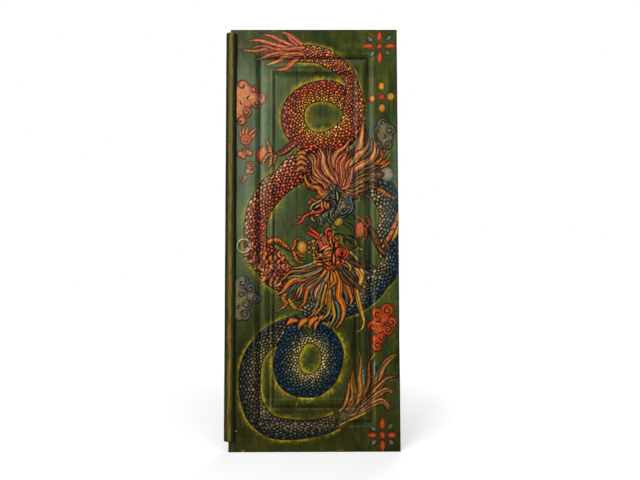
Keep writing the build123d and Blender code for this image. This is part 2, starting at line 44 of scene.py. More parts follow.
scene.view_settings.view_transform = "Standard"


class Socket:
    """An output of a node, so that shader maths reads as arithmetic."""

    def __init__(self, graph, output):
        self.graph = graph
        self.output = output

    def maths(self, operation, *values):
        return self.graph.node("ShaderNodeMath", {"operation": operation}, values)

    def __add__(self, other):
        return self.maths("ADD", self, other)

    def __sub__(self, other):
        return self.maths("SUBTRACT", self, other)

    def __mul__(self, other):
        return self.maths("MULTIPLY", self, other)

    def __rsub__(self, other):
        return self.maths("SUBTRACT", other, self)

    __radd__ = __add__
    __rmul__ = __mul__

    def ramp(self, low, high):
        """0 at low and 1 at high, straight between them and clamped."""
        settings = {"clamp": True}
        values = {"Value": self, "From Min": low, "From Max": high}
        return self.graph.node("ShaderNodeMapRange", settings, values)


class Graph:
    """The node tree of a material or of the world."""

    def __init__(self, tree):
        self.tree = tree

    def node(self, kind, settings=None, values=(), out=0):
        """A node: its settings first, then values or links into its inputs; gives its output."""
        made = self.tree.nodes.new(kind)
        for key, value in (settings or {}).items():
            setattr(made, key, value)
        pairs = values.items() if isinstance(values, dict) else enumerate(values)
        for key, value in pairs:
            if isinstance(value, Socket):
                self.tree.links.new(value.output, made.inputs[key])
            else:
                made.inputs[key].default_value = value
        return Socket(self, made.outputs[out]) if made.outputs else None

    def mix(self, factor, a, b):
        """Mixes two colours."""
        settings = {"data_type": "RGBA", "blend_type": "MIX", "clamp_factor": True}
        return self.node("ShaderNodeMix", settings, {0: factor, 6: a, 7: b}, out=2)

    def noise(self, place, scale, detail, roughness=0.5):
        """Noise from 0 to 1 at a place; scale is how many blots fit in a metre."""
        values = {"Vector": place, "Scale": scale, "Detail": detail, "Roughness": roughness}
        return self.node("ShaderNodeTexNoise", None, values)

    def bump(self, height, strength, distance):
        """A normal that tilts with a height, distance in metres."""
        values = {"Height": height, "Strength": strength, "Distance": distance}
        return self.node("ShaderNodeBump", None, values)


def linear(red, green, blue):
    """A colour given as on a screen, 0 to 255, as the linear values that shaders use."""
    return tuple(((c / 255 + 0.055) / 1.055) ** 2.4 if c > 10 else c / 3295 for c in (red, green, blue))


def rgba(red, green, blue):
    """The same colour with full alpha, as a socket takes it."""
    return linear(red, green, blue) + (1.0,)


world = bpy.data.worlds.new("soft_room")
world.use_nodes = True
scene.world = world
sky = Graph(world.node_tree)
world.node_tree.nodes.clear()
seen = sky.node("ShaderNodeLightPath", out="Is Camera Ray")
room = sky.node("ShaderNodeBackground", None, {"Color": (0.88, 0.92, 0.97, 1), "Strength": 0.07})
white = sky.node("ShaderNodeBackground", None, {"Color": (1, 1, 1, 1), "Strength": 1.0})
both = sky.node("ShaderNodeMixShader", None, {0: seen, 1: room, 2: white})
sky.node("ShaderNodeOutputWorld", None, {"Surface": both})


def area_light(name, place, target, size, power, colour):
    """A soft lamp at place that points at target."""
    data = bpy.data.lights.new(name, "AREA")
    data.shape = "RECTANGLE"
    data.size, data.size_y = size
    data.energy = power
    data.color = colour
    lamp = bpy.data.objects.new(name, data)
    scene.collection.objects.link(lamp)
    lamp.location = place
    lamp.rotation_mode = "QUATERNION"
    lamp.rotation_quaternion = (Vector(target) - Vector(place)).to_track_quat("-Z", "Y")


area_light("window", (-1.5, -2.5, 2.2), (0, 0, 1.0), (1.4, 1.7), 80, (0.90, 0.96, 1.0))
area_light("bounce", (3.2, -3.2, 1.3), (0, 0, 0.8), (2.4, 2.4), 46, (1.0, 0.97, 0.92))
area_light("skylight", (0.4, -3.0, 5.2), (0, 0, 0.8), (3.6, 2.0), 98, (0.97, 0.99, 1.0))
area_light("rear", (1.6, 3.4, 2.2), (0, 0, 0.9), (2.4, 2.4), 60, (0.96, 0.98, 1.0))

FLOOR_HALF = 9
floor_corners = [(x * FLOOR_HALF, y * FLOOR_HALF, 0) for x, y in ((-1, -1), (1, -1), (1, 1), (-1, 1))]
floor_mesh = bpy.data.meshes.new("floor")
floor_mesh.from_pydata(floor_corners, [], [(0, 1, 2, 3)])
floor = bpy.data.objects.new("floor", floor_mesh)
scene.collection.objects.link(floor)
floor_paint = bpy.data.materials.new("floor_paint")
floor_paint.use_nodes = True
floor_graph = Graph(floor_paint.node_tree)
floor_shader = floor_paint.node_tree.nodes["Principled BSDF"]
floor_shader.inputs["Base Color"].default_value = (0.8, 0.8, 0.79, 1)
floor_shader.inputs["Roughness"].default_value = 0.9
floor_seen = floor_graph.node("ShaderNodeLightPath", out="Is Camera Ray")
floor_place = floor_graph.node("ShaderNodeTexCoord", out="Object")
length = {"operation": "LENGTH"}
from_leaf = floor_graph.node("ShaderNodeVectorMath", length, [floor_place], out="Value")
glow = floor_graph.mix(from_leaf.ramp(0.4, 3.6), rgba(168, 168, 166), rgba(255, 255, 255))
floor_paint.node_tree.links.new(glow.output, floor_shader.inputs["Emission Color"])
floor_paint.node_tree.links.new(floor_seen.output, floor_shader.inputs["Emission Strength"])
floor_mesh.materials.append(floor_paint)

lens = bpy.data.cameras.new("camera")
camera = bpy.data.objects.new("camera", lens)
scene.collection.objects.link(camera)
scene.camera = camera
lens.lens = 27
lens.sensor_width = 36
lens.clip_start = 0.05
camera.location = (0.020, -2.289, 0.884)
look = Vector((0.0033, 0.9990, 0.0444)).normalized()
right = Vector((1, -0.0032, -0.0022))
right = (right - look * right.dot(look)).normalized()
up = right.cross(look)
camera.rotation_mode = "QUATERNION"
axes = [right, up, -look]
turn = [[axes[column][row] for column in range(3)] for row in range(3)]
camera.rotation_quaternion = Matrix(turn).to_quaternion()

# The carved face as one drawing on a grid of millimetres, which all the boards
# share, because the carving runs straight across their joints. Every point of
# the grid has a height over its board and a colour of paint.
LEAF_HEIGHT = 2000
HALF_WIDTH = 400
PLANK_SEAMS = (-83, 75)
PITCH = 2
rng = np.random.default_rng(11)


def grid_lines(*stops):
    """Grid lines at each stop and evenly between them, about PITCH apart."""
    lines = [stops[0]]
    for start, end in zip(stops, stops[1:]):
        count = max(2, round((end - start) / PITCH))
        lines += [start + (end - start) * k / count for k in range(1, count + 1)]
    return np.array(lines, float)


# Steps of the frame and moulding, in from the leaf's edges
STEPS = ROUNDING, JOINT, CREST, SHOULDER, FOOT = 116, 140, 168, 196, 214
left_steps = [step - HALF_WIDTH for step in STEPS]
right_steps = [HALF_WIDTH - step for step in STEPS[::-1]]
xs = grid_lines(-HALF_WIDTH, *left_steps, *PLANK_SEAMS, *right_steps, HALF_WIDTH)
zs = grid_lines(0, *STEPS, *[LEAF_HEIGHT - step for step in STEPS[::-1]], LEAF_HEIGHT)
X, Z = np.meshgrid(xs, zs)
relief = np.zeros(X.shape)
paint = np.zeros(X.shape + (3,))


def soft_noise(across, upward, columns, rows):
    """Soft noise from 0 to 1 at places counted in blots, out of a table of columns by rows."""
    table = rng.random((int(rows) + 3, int(columns) + 3))
    column, row = across.astype(int), upward.astype(int)
    u, v = across - column, upward - row
    u, v = u * u * (3 - 2 * u), v * v * (3 - 2 * v)
    lines = table[:, column] * (1 - u) + table[:, column + 1] * u
    return lines[row] * (1 - v)[:, None] + lines[row + 1] * v[:, None]


def noise(wide, high):
    """Soft noise over the whole face, its blots about wide by high mm."""
    return soft_noise((xs + HALF_WIDTH) / wide, zs / high, 2 * HALF_WIDTH / wide, LEAF_HEIGHT / high)


mottle_small = noise(7, 9)
mottle_fine = noise(3.2, 3.4)
mottle_large = noise(60, 80)
brushed = noise(9, 22)
# Random shares that a scale looks up by its place in the rows
JITTERS = 4099
jitter = rng.uniform(-1, 1, (4, JITTERS))

# The ground: dark green oil paint brushed mostly upwards over the boards, worn
# and cloudy, more olive low down, and greyer up the left side towards the top,
# where a painted sheen of window light lies on the varnish.


def mixed(colours, share):
    """Colours spread evenly over share 0 to 1, mixed between neighbours."""
    table = np.array([linear(*c) for c in colours])
    at = np.clip(share, 0, 1) * (len(colours) - 1)
    low = np.minimum(at.astype(int), len(colours) - 2)
    part = (at - low)[..., None]
    return table[low] * (1 - part) + table[low + 1] * part


def toward(base, colour, share):
    """A field of colours moved share of the way to one colour, given as on a screen."""
    return base + (np.array(linear(*colour)) - base) * share[..., None]


ground = mixed([(64, 64, 6), (62, 72, 12), (76, 94, 56), (74, 94, 58), (62, 70, 16)], Z / LEAF_HEIGHT)
teal = np.clip(noise(30, 44) * 2.2 - 1.0, 0, 1)
ground = toward(ground, (34, 70, 56), teal * 0.4)
scumble = np.clip(noise(22, 30) * 2 - 1.1, 0, 1)
ground = toward(ground, (112, 124, 70), scumble * 0.28)
ground *= (1 + 0.3 * np.clip((X - 220) / 60, 0, 1))[..., None]
cloudy = 0.55 * noise(46, 120) + 0.3 * noise(16, 70) + 0.15 * noise(5, 26)
ground *= (0.2 + 1.6 * cloudy)[..., None]
olive = np.clip(noise(70, 90) * 1.6 - 0.7, 0, 1)
ground = toward(ground, (92, 88, 22), olive * 0.55)
# Painted sheen: window light reflected in the varnish, pale grey-green up the left side
left_window_sheen = np.clip(-X / 420, 0, 1) * np.clip((Z - 500) / 900, 0, 1) * (0.5 + 0.7 * noise(30, 60))
left_window_sheen *= np.clip((1930 - Z) / 160, 0.25, 1)
ground = toward(ground, (122, 146, 122), np.clip(left_window_sheen, 0, 0.7))
stains = np.clip(noise(48, 40) * 2.6 - 1.75, 0, 1) * np.clip((Z - 1250) / 300, 0.15, 1)
ground = toward(ground, (152, 128, 46), stains * 0.5)
strokes = np.clip(noise(4.5, 60) * 2 - 1.25, 0, 1)
ground = toward(ground, (122, 124, 78), strokes * 0.34)
dark_strokes = np.clip(noise(7, 90) * 2 - 1.3, 0, 1)[..., None]
paint[:] = ground * (0.69 - 0.34 * dark_strokes)
relief += (cloudy - 0.5) * 0.5 + (mottle_fine - 0.5) * 0.12

# The dragons' bodies: long rounded coils covered with small scales, the upper
# dragon's red to orange, the lower one's blue to beige, each with a halo of
# yellow-green brushed on the ground round it.
INK = linear(14, 11, 9)
# How far a motif's window and a body's reach past their edges, in mm
REACH, HALO_REACH = 9, 48
LINE_STEP = 3.0
OUTSIDE = -99.0


class Motif:
    """A window of the grid round a motif, with the distance inside its edge, along and across it."""

    def __init__(self, x0, x1, z0, z1, reach=REACH):
        columns = slice(max(np.searchsorted(xs, x0 - reach) - 1, 0), np.searchsorted(xs, x1 + reach) + 1)
        rows = slice(max(np.searchsorted(zs, z0 - reach) - 1, 0), np.searchsorted(zs, z1 + reach) + 1)
        self.place = rows, columns
        self.x, self.z = X[self.place], Z[self.place]


def through(points, closed=False, step=LINE_STEP):
    """A smooth line through a few given rows, as points every few mm."""
    p = np.array(points, float)
    if closed:
        q = np.vstack([p[-1:], p, p[:2]])
    else:
        q = np.vstack([2 * p[:1] - p[1:2], p, 2 * p[-1:] - p[-2:-1]])
    runs = []
    for a, b, c, d in zip(q, q[1:], q[2:], q[3:]):
        count = max(2, int(np.hypot(*(c - b)[:2]) / step))
        t = np.arange(count)[:, None] / count
        runs.append(b + 0.5 * t * ((c - a) + t * ((2 * a - 5 * b + 4 * c - d) + t * (3 * (b - c) + d - a))))
    if not closed:
        runs.append(p[-1:])
    return np.vstack(runs)


def span(lines, a, b, reach):
    """The slice of grid lines between a and b, whichever is less, and reach past them."""
    return slice(np.searchsorted(lines, min(a, b) - reach), np.searchsorted(lines, max(a, b) + reach))


def band(points, blunt=True, reach=REACH):
    """A motif along a line of rows (x, z, half width); blunt rounds its ends."""
    line = through(points)
    x, z, w = line[:, 0], line[:, 1], np.maximum(line[:, 2], 0.2)
    m = Motif(x.min(), x.max(), z.min(), z.max(), w.max() + reach)
    m.inside = np.full(m.x.shape, OUTSIDE)
    m.along = np.zeros(m.x.shape)
    m.across = np.zeros(m.x.shape)
    rows, columns = m.place
    last = len(x) - 2
    for k in range(last + 1):
        near = max(w[k], w[k + 1]) + reach
        part = span(zs[rows], z[k], z[k + 1], near), span(xs[columns], x[k], x[k + 1], near)
        gx, gz = m.x[part], m.z[part]
        dx, dz = x[k + 1] - x[k], z[k + 1] - z[k]
        px, pz = gx - x[k], gz - z[k]
        t = np.clip((px * dx + pz * dz) / (dx * dx + dz * dz + 1e-9), 0, 1)
        ex, ez = px - t * dx, pz - t * dz
        distance = np.hypot(ex, ez)
        half = w[k] + t * (w[k + 1] - w[k])
        inside = half - distance
        if not blunt:
            before = (gx - x[0]) * (x[1] - x[0]) + (gz - z[0]) * (z[1] - z[0]) < 0
            past = (gx - x[-1]) * (x[-1] - x[-2]) + (gz - z[-1]) * (z[-1] - z[-2]) > 0
            inside = np.where(before & (k * LINE_STEP < w[0] + reach), OUTSIDE, inside)
            inside = np.where(past & ((last - k) * LINE_STEP < w[-1] + reach), OUTSIDE, inside)
        better = inside > m.inside[part]
        m.inside[part] = np.where(better, inside, m.inside[part])
        m.along[part] = np.where(better, (k + t) / (last + 1), m.along[part])
        side = np.sign(dx * ez - dz * ex) * distance / half
        m.across[part] = np.where(better, side, m.across[part])
    m.length = np.hypot(np.diff(x), np.diff(z)).sum()
    m.half = w.max()
    return m


def between(left, right):
    """A broad motif between two edges that run the same way; across is -1 at the first."""
    sides = []
    for edge in (left, right):
        line = through(edge)
        run = np.append(0, np.cumsum(np.hypot(*np.diff(line, axis=0).T)))
        at = np.linspace(0, run[-1], 60)
        sides.append(np.stack([np.interp(at, run, line[:, 0]), np.interp(at, run, line[:, 1])], 1))
    middle = (sides[0] + sides[1]) / 2
    half = np.hypot(*(sides[0] - sides[1]).T) / 2
    m = band(np.column_stack([middle, half])[::3], blunt=False, reach=HALO_REACH)
    ahead, aside = middle[30] - middle[28], sides[0][29] - middle[29]
    if ahead[0] * aside[1] - ahead[1] * aside[0] > 0:
        m.across = -m.across
    return m


def blend(m, colour, amount):
    """Paints colour, one or a field of them, over a motif's window."""
    cover = np.clip(amount, 0, 1)[..., None]
    here = paint[m.place]
    paint[m.place] = here + (np.asarray(colour) - here) * cover


HALO = [(198, 170, 32), (146, 138, 42), (96, 108, 46)]


def halo(m, wide, strength):
    """The soft yellow-green glow painted on the ground round a dragon."""
    away = -m.inside / wide + 0.5 * (mottle_small[m.place] - 0.5)
    fade = (0.55 * np.exp(-((away * 3.2) ** 2)) + 0.5 * np.clip(1 - away, 0, 1)) * (m.inside < 0)
    patchy = np.clip(1.5 * mottle_large[m.place] - 0.05, 0.2, 1) * (0.6 + 0.8 * brushed[m.place])
    glowing = mixed(HALO, np.clip(away * 1.2, 0, 1))
    blend(m, glowing, strength * np.clip(fade * patchy * 1.5, 0, 1))


def scales(m, count, pitch, colours, way=1):
    """A scaly body: its rounded back, and scales lapped like tiles with dark gaps round their tips.

    count of them stand side by side, their rows are pitch mm apart and their tips point to way.
    """
    back_height, scale_height, shoulder = 4.0, 1.6, 30.0
    blend(m, INK, (m.inside + 3.2) / 1.6)
    rows = way * m.along * m.length / pitch
    tip = np.full(m.inside.shape, 9.0)
    above = tip.copy()
    ahead = np.zeros(m.inside.shape)
    key = np.zeros(m.inside.shape, int)
    for step in (-1, 0, 1):
        row = np.floor(rows) + step
        column = m.across * count / 2 + 0.5 * (row % 2)
        near = np.round(column)
        hashed = (row * 131 + near * 37).astype(int) % JITTERS
        aside = column - near + 0.17 * jitter[0, hashed]
        along = rows - row + 0.28 * jitter[1, hashed]
        q = np.hypot(aside / 0.56, along / np.where(along > 0, 1.5, 0.7))
        unclaimed = tip >= 1
        taken = unclaimed & ((q < 1) | (step == 1))
        above = np.where(unclaimed & ~taken, np.minimum(above, q), above)
        ahead = np.where(taken, along, ahead)
        key = np.where(taken, hashed, key)
        tip = np.where(taken, np.minimum(q, 0.98), tip)
    share = np.clip(m.inside / min(shoulder, m.half), 0, 1)
    back = back_height * share * (2 - share)
    rim = np.clip((m.inside - 1) / 3, 0, 1)
    scale = scale_height * np.clip(0.35 + 0.5 * ahead, 0.2, 1) * (1 - tip**4)
    relief[m.place] = np.where(m.inside > 0, back + scale * rim, relief[m.place] - 0.8 * (m.inside > -4))
    colour = mixed(colours, (m.across + 1) / 2) * (1.05 + 0.38 * jitter[2, key])[..., None]
    warm = 0.16 * jitter[3, key][..., None] * np.array([1.0, 0.0, -1.0])
    colour = np.clip(colour * (1 + warm), 0, 1)
    # Painted light: a highlight across each scale, painted shadow under the one over it
    bright = np.exp(-(((tip - 0.5) / 0.26) ** 2))
    shadow = np.clip((above - 1.06) / 0.34, 0.02, 1)
    lit = (0.2 + 1.5 * bright) * shadow + 0.3 * (mottle_fine[m.place] - 0.5)
    blend(m, INK, np.clip(m.inside / 1.5 + 0.5, 0, 1))
    shown = np.clip((0.79 - tip) / 0.13, 0, 1) * rim
    blend(m, colour * np.clip(lit, 0.03, 1.7)[..., None], shown)


red_strand = between(
    [(-85, 1925), (0, 1922), (40, 1912), (80, 1899), (132, 1861), (192, 1801), (215, 1730), (229, 1660),
     (238, 1600), (232, 1540)],
     [(-85, 1843), (0, 1841), (40, 1826), (77, 1812), (109, 1795), (135, 1772), (152, 1743), (156, 1700),
      (150, 1650), (138, 1600)],
)
red_ring = between(
    [(236, 1600), (222, 1510), (190, 1455), (130, 1415), (40, 1400), (-45, 1412), (-115, 1460), (-152, 1530),
     (-158, 1590), (-138, 1652), (-86, 1709), (-20, 1745), (60, 1758), (120, 1744), (165, 1708), (192, 1660),
     (200, 1600)], [(145, 1600), (125, 1560), (100, 1535), (62, 1512), (20, 1503), (-18, 1515), (-38, 1545),
                    (-47, 1580), (-40, 1620),
     (-15, 1645), (20, 1655), (55, 1655), (90, 1643), (112, 1630), (130, 1616), (146, 1600)],
)
red_body = between(
    [(-40, 1425), (-100, 1400), (-148, 1355), (-192, 1309), (-252, 1263), (-284, 1209), (-310, 1160),
     (-328, 1084), (-331, 1027), (-328, 940), (-300, 870), (-264, 826), (-225, 775), (-163, 743),
     (-110, 735)], [(-20, 1310), (-54, 1263), (-100, 1234), (-140, 1200), (-172, 1166), (-205, 1120),
                    (-222, 1064), (-226, 1015), (-221, 992),
     (-201, 964), (-172, 932), (-132, 883), (-97, 857), (-75, 845), (-60, 840)],
)
blue_right = between(
    [(270, 1310), (330, 1290), (380, 1250), (402, 1170), (402, 1050), (402, 950), (400, 860), (387, 809),
     (350, 769), (312, 718), (252, 667), (201, 638), (143, 618), (60, 600), (-20, 590), (-100, 590)],
    [(200, 1240), (232, 1226), (266, 1196), (296, 1140), (317, 1085), (304, 1055), (295, 1009), (290, 964),
     (318, 903), (301, 860), (267, 829), (229, 783), (190, 735), (120, 715), (20, 700), (-80, 690)],
)
blue_loop = between(
    [(-60, 600), (-130, 560), (-165, 500), (-189, 406), (-181, 349), (-158, 294), (-116, 264), (-66, 249),
     (0, 249), (50, 271), (92, 308), (123, 369), (135, 435), (129, 486), (106, 532), (62, 575), (0, 600),
     (-60, 600)], [(-20, 506), (-45, 488), (-66, 460), (-78, 420), (-76, 395), (-65, 372), (-50, 360),
                   (-35, 355), (-15, 356), (5, 366),
     (20, 382), (31, 405), (35, 430), (34, 450), (25, 475), (8, 492), (-10, 502), (-20, 506)],
)
blue_strand = between(
    [(-60, 640), (-115, 624), (-172, 601), (-229, 572), (-264, 538), (-304, 489), (-337, 423), (-350, 334),
     (-345, 249), (-318, 165), (-270, 112), (-206, 78), (-94, 67), (0, 75), (84, 95), (140, 128)],
    [(-60, 520), (-120, 508), (-166, 492), (-206, 469), (-229, 449), (-252, 392), (-256, 330), (-251, 252),
     (-231, 204), (-200, 165), (-158, 138), (-84, 136), (-10, 137), (56, 156), (106, 177), (125, 190)],
)
for motif, wide, strength in (
    (red_strand, 26, 0.6), (red_ring, 40, 0.8), (red_body, 44, 0.6), (blue_right, 20, 0.45),
    (blue_loop, 42, 0.85), (blue_strand, 28, 0.7),
):
    halo(motif, wide, strength)
RED_SCALES = [(188, 72, 52), (198, 84, 54), (216, 124, 62), (236, 168, 80)]
PINK_SCALES = [(226, 158, 116), (208, 110, 80), (184, 72, 54), (198, 96, 62)]
BLUE_SCALES = [(18, 62, 112), (36, 70, 98), (112, 116, 98), (232, 204, 142)]
GREY_SCALES = [(42, 56, 68), (82, 84, 78), (124, 116, 94), (126, 106, 78)]
SEA_SCALES = [(22, 62, 112), (66, 90, 108), (126, 126, 112), (184, 156, 116)]
CORAL_SCALES = [(190, 118, 70), (206, 114, 70), (190, 88, 58), (212, 126, 78)]
scales(blue_strand, 6, 16, GREY_SCALES)
scales(blue_right, 6, 16, SEA_SCALES)
scales(blue_loop, 7, 14, BLUE_SCALES)
scales(red_ring, 7, 14, RED_SCALES, way=-1)
scales(red_strand, 6, 13, CORAL_SCALES, way=-1)
scales(red_body, 7, 15, PINK_SCALES, way=-1)

# The flames at the end of the upper dragon's tail: pointed locks that fan out to
# the left, each a pale tongue of paint with a black line round it. Their palettes
# go from a lock's pale middle out to its dark edge.
FLAME = [(214, 132, 92), (198, 92, 58), (140, 50, 32)]
PEACH = [(226, 158, 104), (200, 114, 70), (126, 56, 34)]
SALMON = [(216, 136, 104), (192, 102, 76), (134, 58, 42)]


def lay(m, colours, rise=3.0, line=2.6, level=0.0, full=None, streak=0.16):
    """Lays one motif: a painted black line round it, its rounded height and its colours.

    colours go from its middle out to its edge, and full is how far in it still rises.
    """
    blend(m, INK, (m.inside + line) / 1.6)
    share = np.clip(m.inside / (full or m.half), 0, 1)
    dome = share * (2 - share)
    groove = np.exp(-(((m.inside + line * 0.4) / (line * 0.7 + 0.6)) ** 2))
    height = np.where(m.inside > 0, level + rise * dome, relief[m.place])
    relief[m.place] = height - 0.9 * groove * (line > 0)
    colour = mixed(colours, np.clip(np.abs(m.across), 0, 1) ** 1.3)
    small, fine = mottle_small[m.place], mottle_fine[m.place]
    stripes = np.sin(m.across * 9 + small * 5) * streak
    grain = (small - 0.5) * 2 * streak + (fine - 0.5) * streak
    lit = np.clip(1 + stripes + grain, 0.3, 1.8)[..., None]
    blend(m, colour * lit, np.clip(m.inside / 1.5 + 0.5, 0, 1))


def draw(points, width, colour=INK, depth=0.9):
    """A line cut into the carving and painted, thinner at its ends."""
    line = through(points)
    run = np.linspace(0, 1, len(line))
    half = width / 2 * np.clip(np.minimum(run, 1 - run) * 6, 0.3, 1)
    m = band(np.column_stack([line[:, :2], half]))
    on = np.clip(m.inside / 1.6 + 0.6, 0, 1)
    blend(m, colour, on)
    relief[m.place] -= depth * on


def lock(points, width, colours, root=0.55, vein=0.0, **extra):
    """A lock, flame or claw from its root to its pointed tip, along a few points.

    vein is how far from its middle, in widths, a dark line runs along it; 0 leaves it out.
    """
    line = through(points)
    run = np.linspace(0, 1, len(line))
    swell = root + (1 - root) * np.sin(np.minimum(run / 0.45, 1) * math.pi / 2)
    taper = np.clip((1 - run) / 0.55, 0, 1) ** 0.75
    rows = np.column_stack([line[:, :2], width / 2 * swell * taper])
    m = band(rows[:: max(1, len(rows) // 14)].tolist() + [rows[-1].tolist()])
    lay(m, colours, **extra)
    if vein:
        middle = line[4 : 4 + len(line) * 2 // 3, :2]
        aside = np.gradient(middle, axis=0)[:, ::-1] * (1, -1)
        aside *= width * vein / np.maximum(np.hypot(*aside.T), 0.1)[:, None]
        draw((middle + aside)[::5], 3.4, depth=1.2)


for palette, width, points in (
    (FLAME, 24, [(-60, 1930), (-85, 1950), (-115, 1972), (-158, 1992)]),
    (FLAME, 17, [(-70, 1912), (-100, 1938), (-118, 1958), (-132, 1978)]),
    (FLAME, 26, [(-80, 1908), (-130, 1930), (-165, 1948), (-200, 1968), (-246, 1979)]),
    (FLAME, 15, [(-110, 1905), (-145, 1922), (-175, 1932), (-196, 1950)]),
    (FLAME, 28, [(-90, 1902), (-150, 1914), (-200, 1928), (-262, 1948), (-325, 1946)]),
    (FLAME, 26, [(-95, 1893), (-160, 1899), (-220, 1906), (-280, 1896), (-348, 1903)]),
    (SALMON, 14, [(-190, 1905), (-235, 1918), (-270, 1918), (-300, 1908)]),
    (FLAME, 25, [(-95, 1883), (-160, 1884), (-210, 1876), (-250, 1862), (-286, 1857)]),
    (PEACH, 24, [(-100, 1874), (-140, 1866), (-172, 1848), (-202, 1838), (-232, 1828)]),
    (FLAME, 25, [(-72, 1862), (-100, 1848), (-122, 1820), (-152, 1808), (-186, 1804)]),
    (SALMON, 20, [(-50, 1912), (-90, 1908), (-130, 1904), (-160, 1910)]),
    (FLAME, 20, [(-50, 1880), (-90, 1882), (-130, 1880), (-165, 1878)]),
):
    lock(points, width, palette, root=0.7, vein=rng.choice([-0.16, 0.14]), rise=2.6, line=3.6, streak=0.35)

# The flames at the end of the lower dragon's tail: grey-blue within, orange rims,
# on a dull olive root where they spring from the scales.
SLATE = [(122, 126, 116), (84, 92, 92), (36, 46, 54)]
OCHRE = [(206, 138, 56), (168, 96, 36), (92, 48, 22)]
OLIVE = [(176, 148, 66), (146, 118, 44), (92, 72, 26)]
BARK = [(150, 108, 76), (116, 80, 54), (66, 46, 32)]
YELLOW = [(214, 166, 68), (190, 136, 42), (128, 84, 24)]
DUSK = [(104, 70, 42), (74, 48, 28), (34, 22, 15)]
DEEPEST = 45.0


def blob(points):
    """A motif inside a closed outline of rows (x, z)."""
    x, z = through(points, closed=True).T
    m = Motif(x.min(), x.max(), z.min(), z.max())
    odd = np.zeros(m.x.shape, bool)
    distance = np.full(m.x.shape, DEEPEST)
    for x1, z1, x2, z2 in zip(x, z, np.roll(x, -1), np.roll(z, -1)):
        dx, dz = x2 - x1, z2 - z1
        if dz:
            crosses = (m.z >= min(z1, z2)) & (m.z < max(z1, z2))
            odd ^= crosses & (m.x > x1 + (m.z - z1) * dx / dz)
        t = np.clip(((m.x - x1) * dx + (m.z - z1) * dz) / (dx * dx + dz * dz + 1e-9), 0, 1)
        distance = np.minimum(distance, np.hypot(m.x - x1 - t * dx, m.z - z1 - t * dz))
    m.inside = np.where(odd, distance, -distance)
    m.half = m.inside.max()
    m.across = 1 - np.clip(m.inside / m.half, 0, 1)
    return m


lay(blob([(108, 110), (150, 122), (205, 150), (262, 196), (262, 240), (226, 262), (180, 262), (146, 236),
          (124, 200), (112, 168)]),
    [(100, 100, 76), (84, 84, 60), (62, 60, 38)], rise=3, line=0, full=22, streak=0.4)
for palette, width, points in (
    (SLATE, 28, [(130, 190), (146, 216), (152, 246), (148, 284)]),
    (OCHRE, 17, [(116, 184), (140, 208), (154, 244), (160, 284), (168, 338)]),
    (OLIVE, 26, [(150, 185), (178, 220), (188, 265), (184, 318), (186, 356)]),
    (OCHRE, 16, [(150, 190), (170, 225), (178, 262), (174, 300), (176, 340), (187, 380)]),
    (SLATE, 24, [(195, 210), (218, 262), (228, 330), (226, 404)]),
    (OCHRE, 21, [(176, 195), (204, 238), (216, 285), (211, 330), (216, 385), (218, 420), (209, 462)]),
    (SLATE, 30, [(225, 225), (258, 290), (278, 340), (280, 390), (284, 434)]),
    (OCHRE, 21, [(215, 205), (242, 270), (256, 330), (256, 385), (266, 425), (300, 466)]),
    (BARK, 46, [(225, 215), (276, 285), (300, 340), (322, 396), (352, 432), (396, 455)]),
    (SLATE, 15, [(298, 330), (310, 372), (326, 402), (345, 420)]),
    (OCHRE, 14, [(300, 322), (318, 370), (342, 408), (388, 450)]),
    (BARK, 36, [(215, 205), (268, 262), (308, 308), (345, 342), (391, 345)]),
    (OCHRE, 13, [(250, 250), (298, 302), (338, 336), (388, 350)]),
    (BARK, 34, [(205, 190), (258, 230), (300, 262), (338, 282), (370, 262)]),
    (OCHRE, 12, [(256, 240), (300, 274), (338, 290), (370, 272)]),
    (BARK, 30, [(165, 165), (222, 186), (268, 212), (312, 226), (338, 208), (346, 184)]),
    (OCHRE, 13, [(240, 206), (282, 232), (316, 240), (342, 218), (352, 190)]),
    (YELLOW, 12, [(120, 124), (176, 148), (226, 172), (280, 200)]),
):
    lock(points, width, palette, root=0.5, rise=2.8, line=3.6, streak=0.5)
for k in range(10):
    lean = k / 9
    draw([(150 + 50 * lean, 222 - 62 * lean), (162 + 62 * lean, 248 - 58 * lean),
          (172 + 92 * lean, 284 - 66 * lean)], 3.2, (INK, linear(130, 98, 46))[k % 2], 0.8)

# Curled clouds between the coils: swelling lobes, each cut with a spiral, pink at
# the left, clay-grey with blue rims, and one of a glowing orange at the right.
PINK = [(214, 146, 106), (200, 120, 88), (140, 74, 54)]
CLAY = [(134, 120, 92), (124, 112, 86), (104, 98, 82), (30, 54, 84)]
EMBER = [(212, 92, 38), (194, 76, 30), (110, 40, 16)]


def lobes(discs):
    """A motif joined from overlapping discs, rows of (x, z, radius)."""
    x, z, r = np.array(discs, float).T
    m = Motif((x - r).min(), (x + r).max(), (z - r).min(), (z + r).max())
    m.inside = np.max([radius - np.hypot(m.x - at_x, m.z - at_z) for at_x, at_z, radius in discs], 0)
    m.half = m.inside.max()
    m.across = 1 - np.clip(m.inside / m.half, 0, 1)
    return m


def curl(x, z, radius, start, turns, width):
    """A spiral cut inwards from radius; start is its outer end's direction in degrees."""
    share = np.linspace(0, 1, 15)
    angle = math.radians(start) + share * turns * 2 * math.pi
    out = radius * (1 - 0.8 * share)
    draw(np.column_stack([x + out * np.cos(angle), z + out * np.sin(angle)]).tolist(), width, depth=1.4)


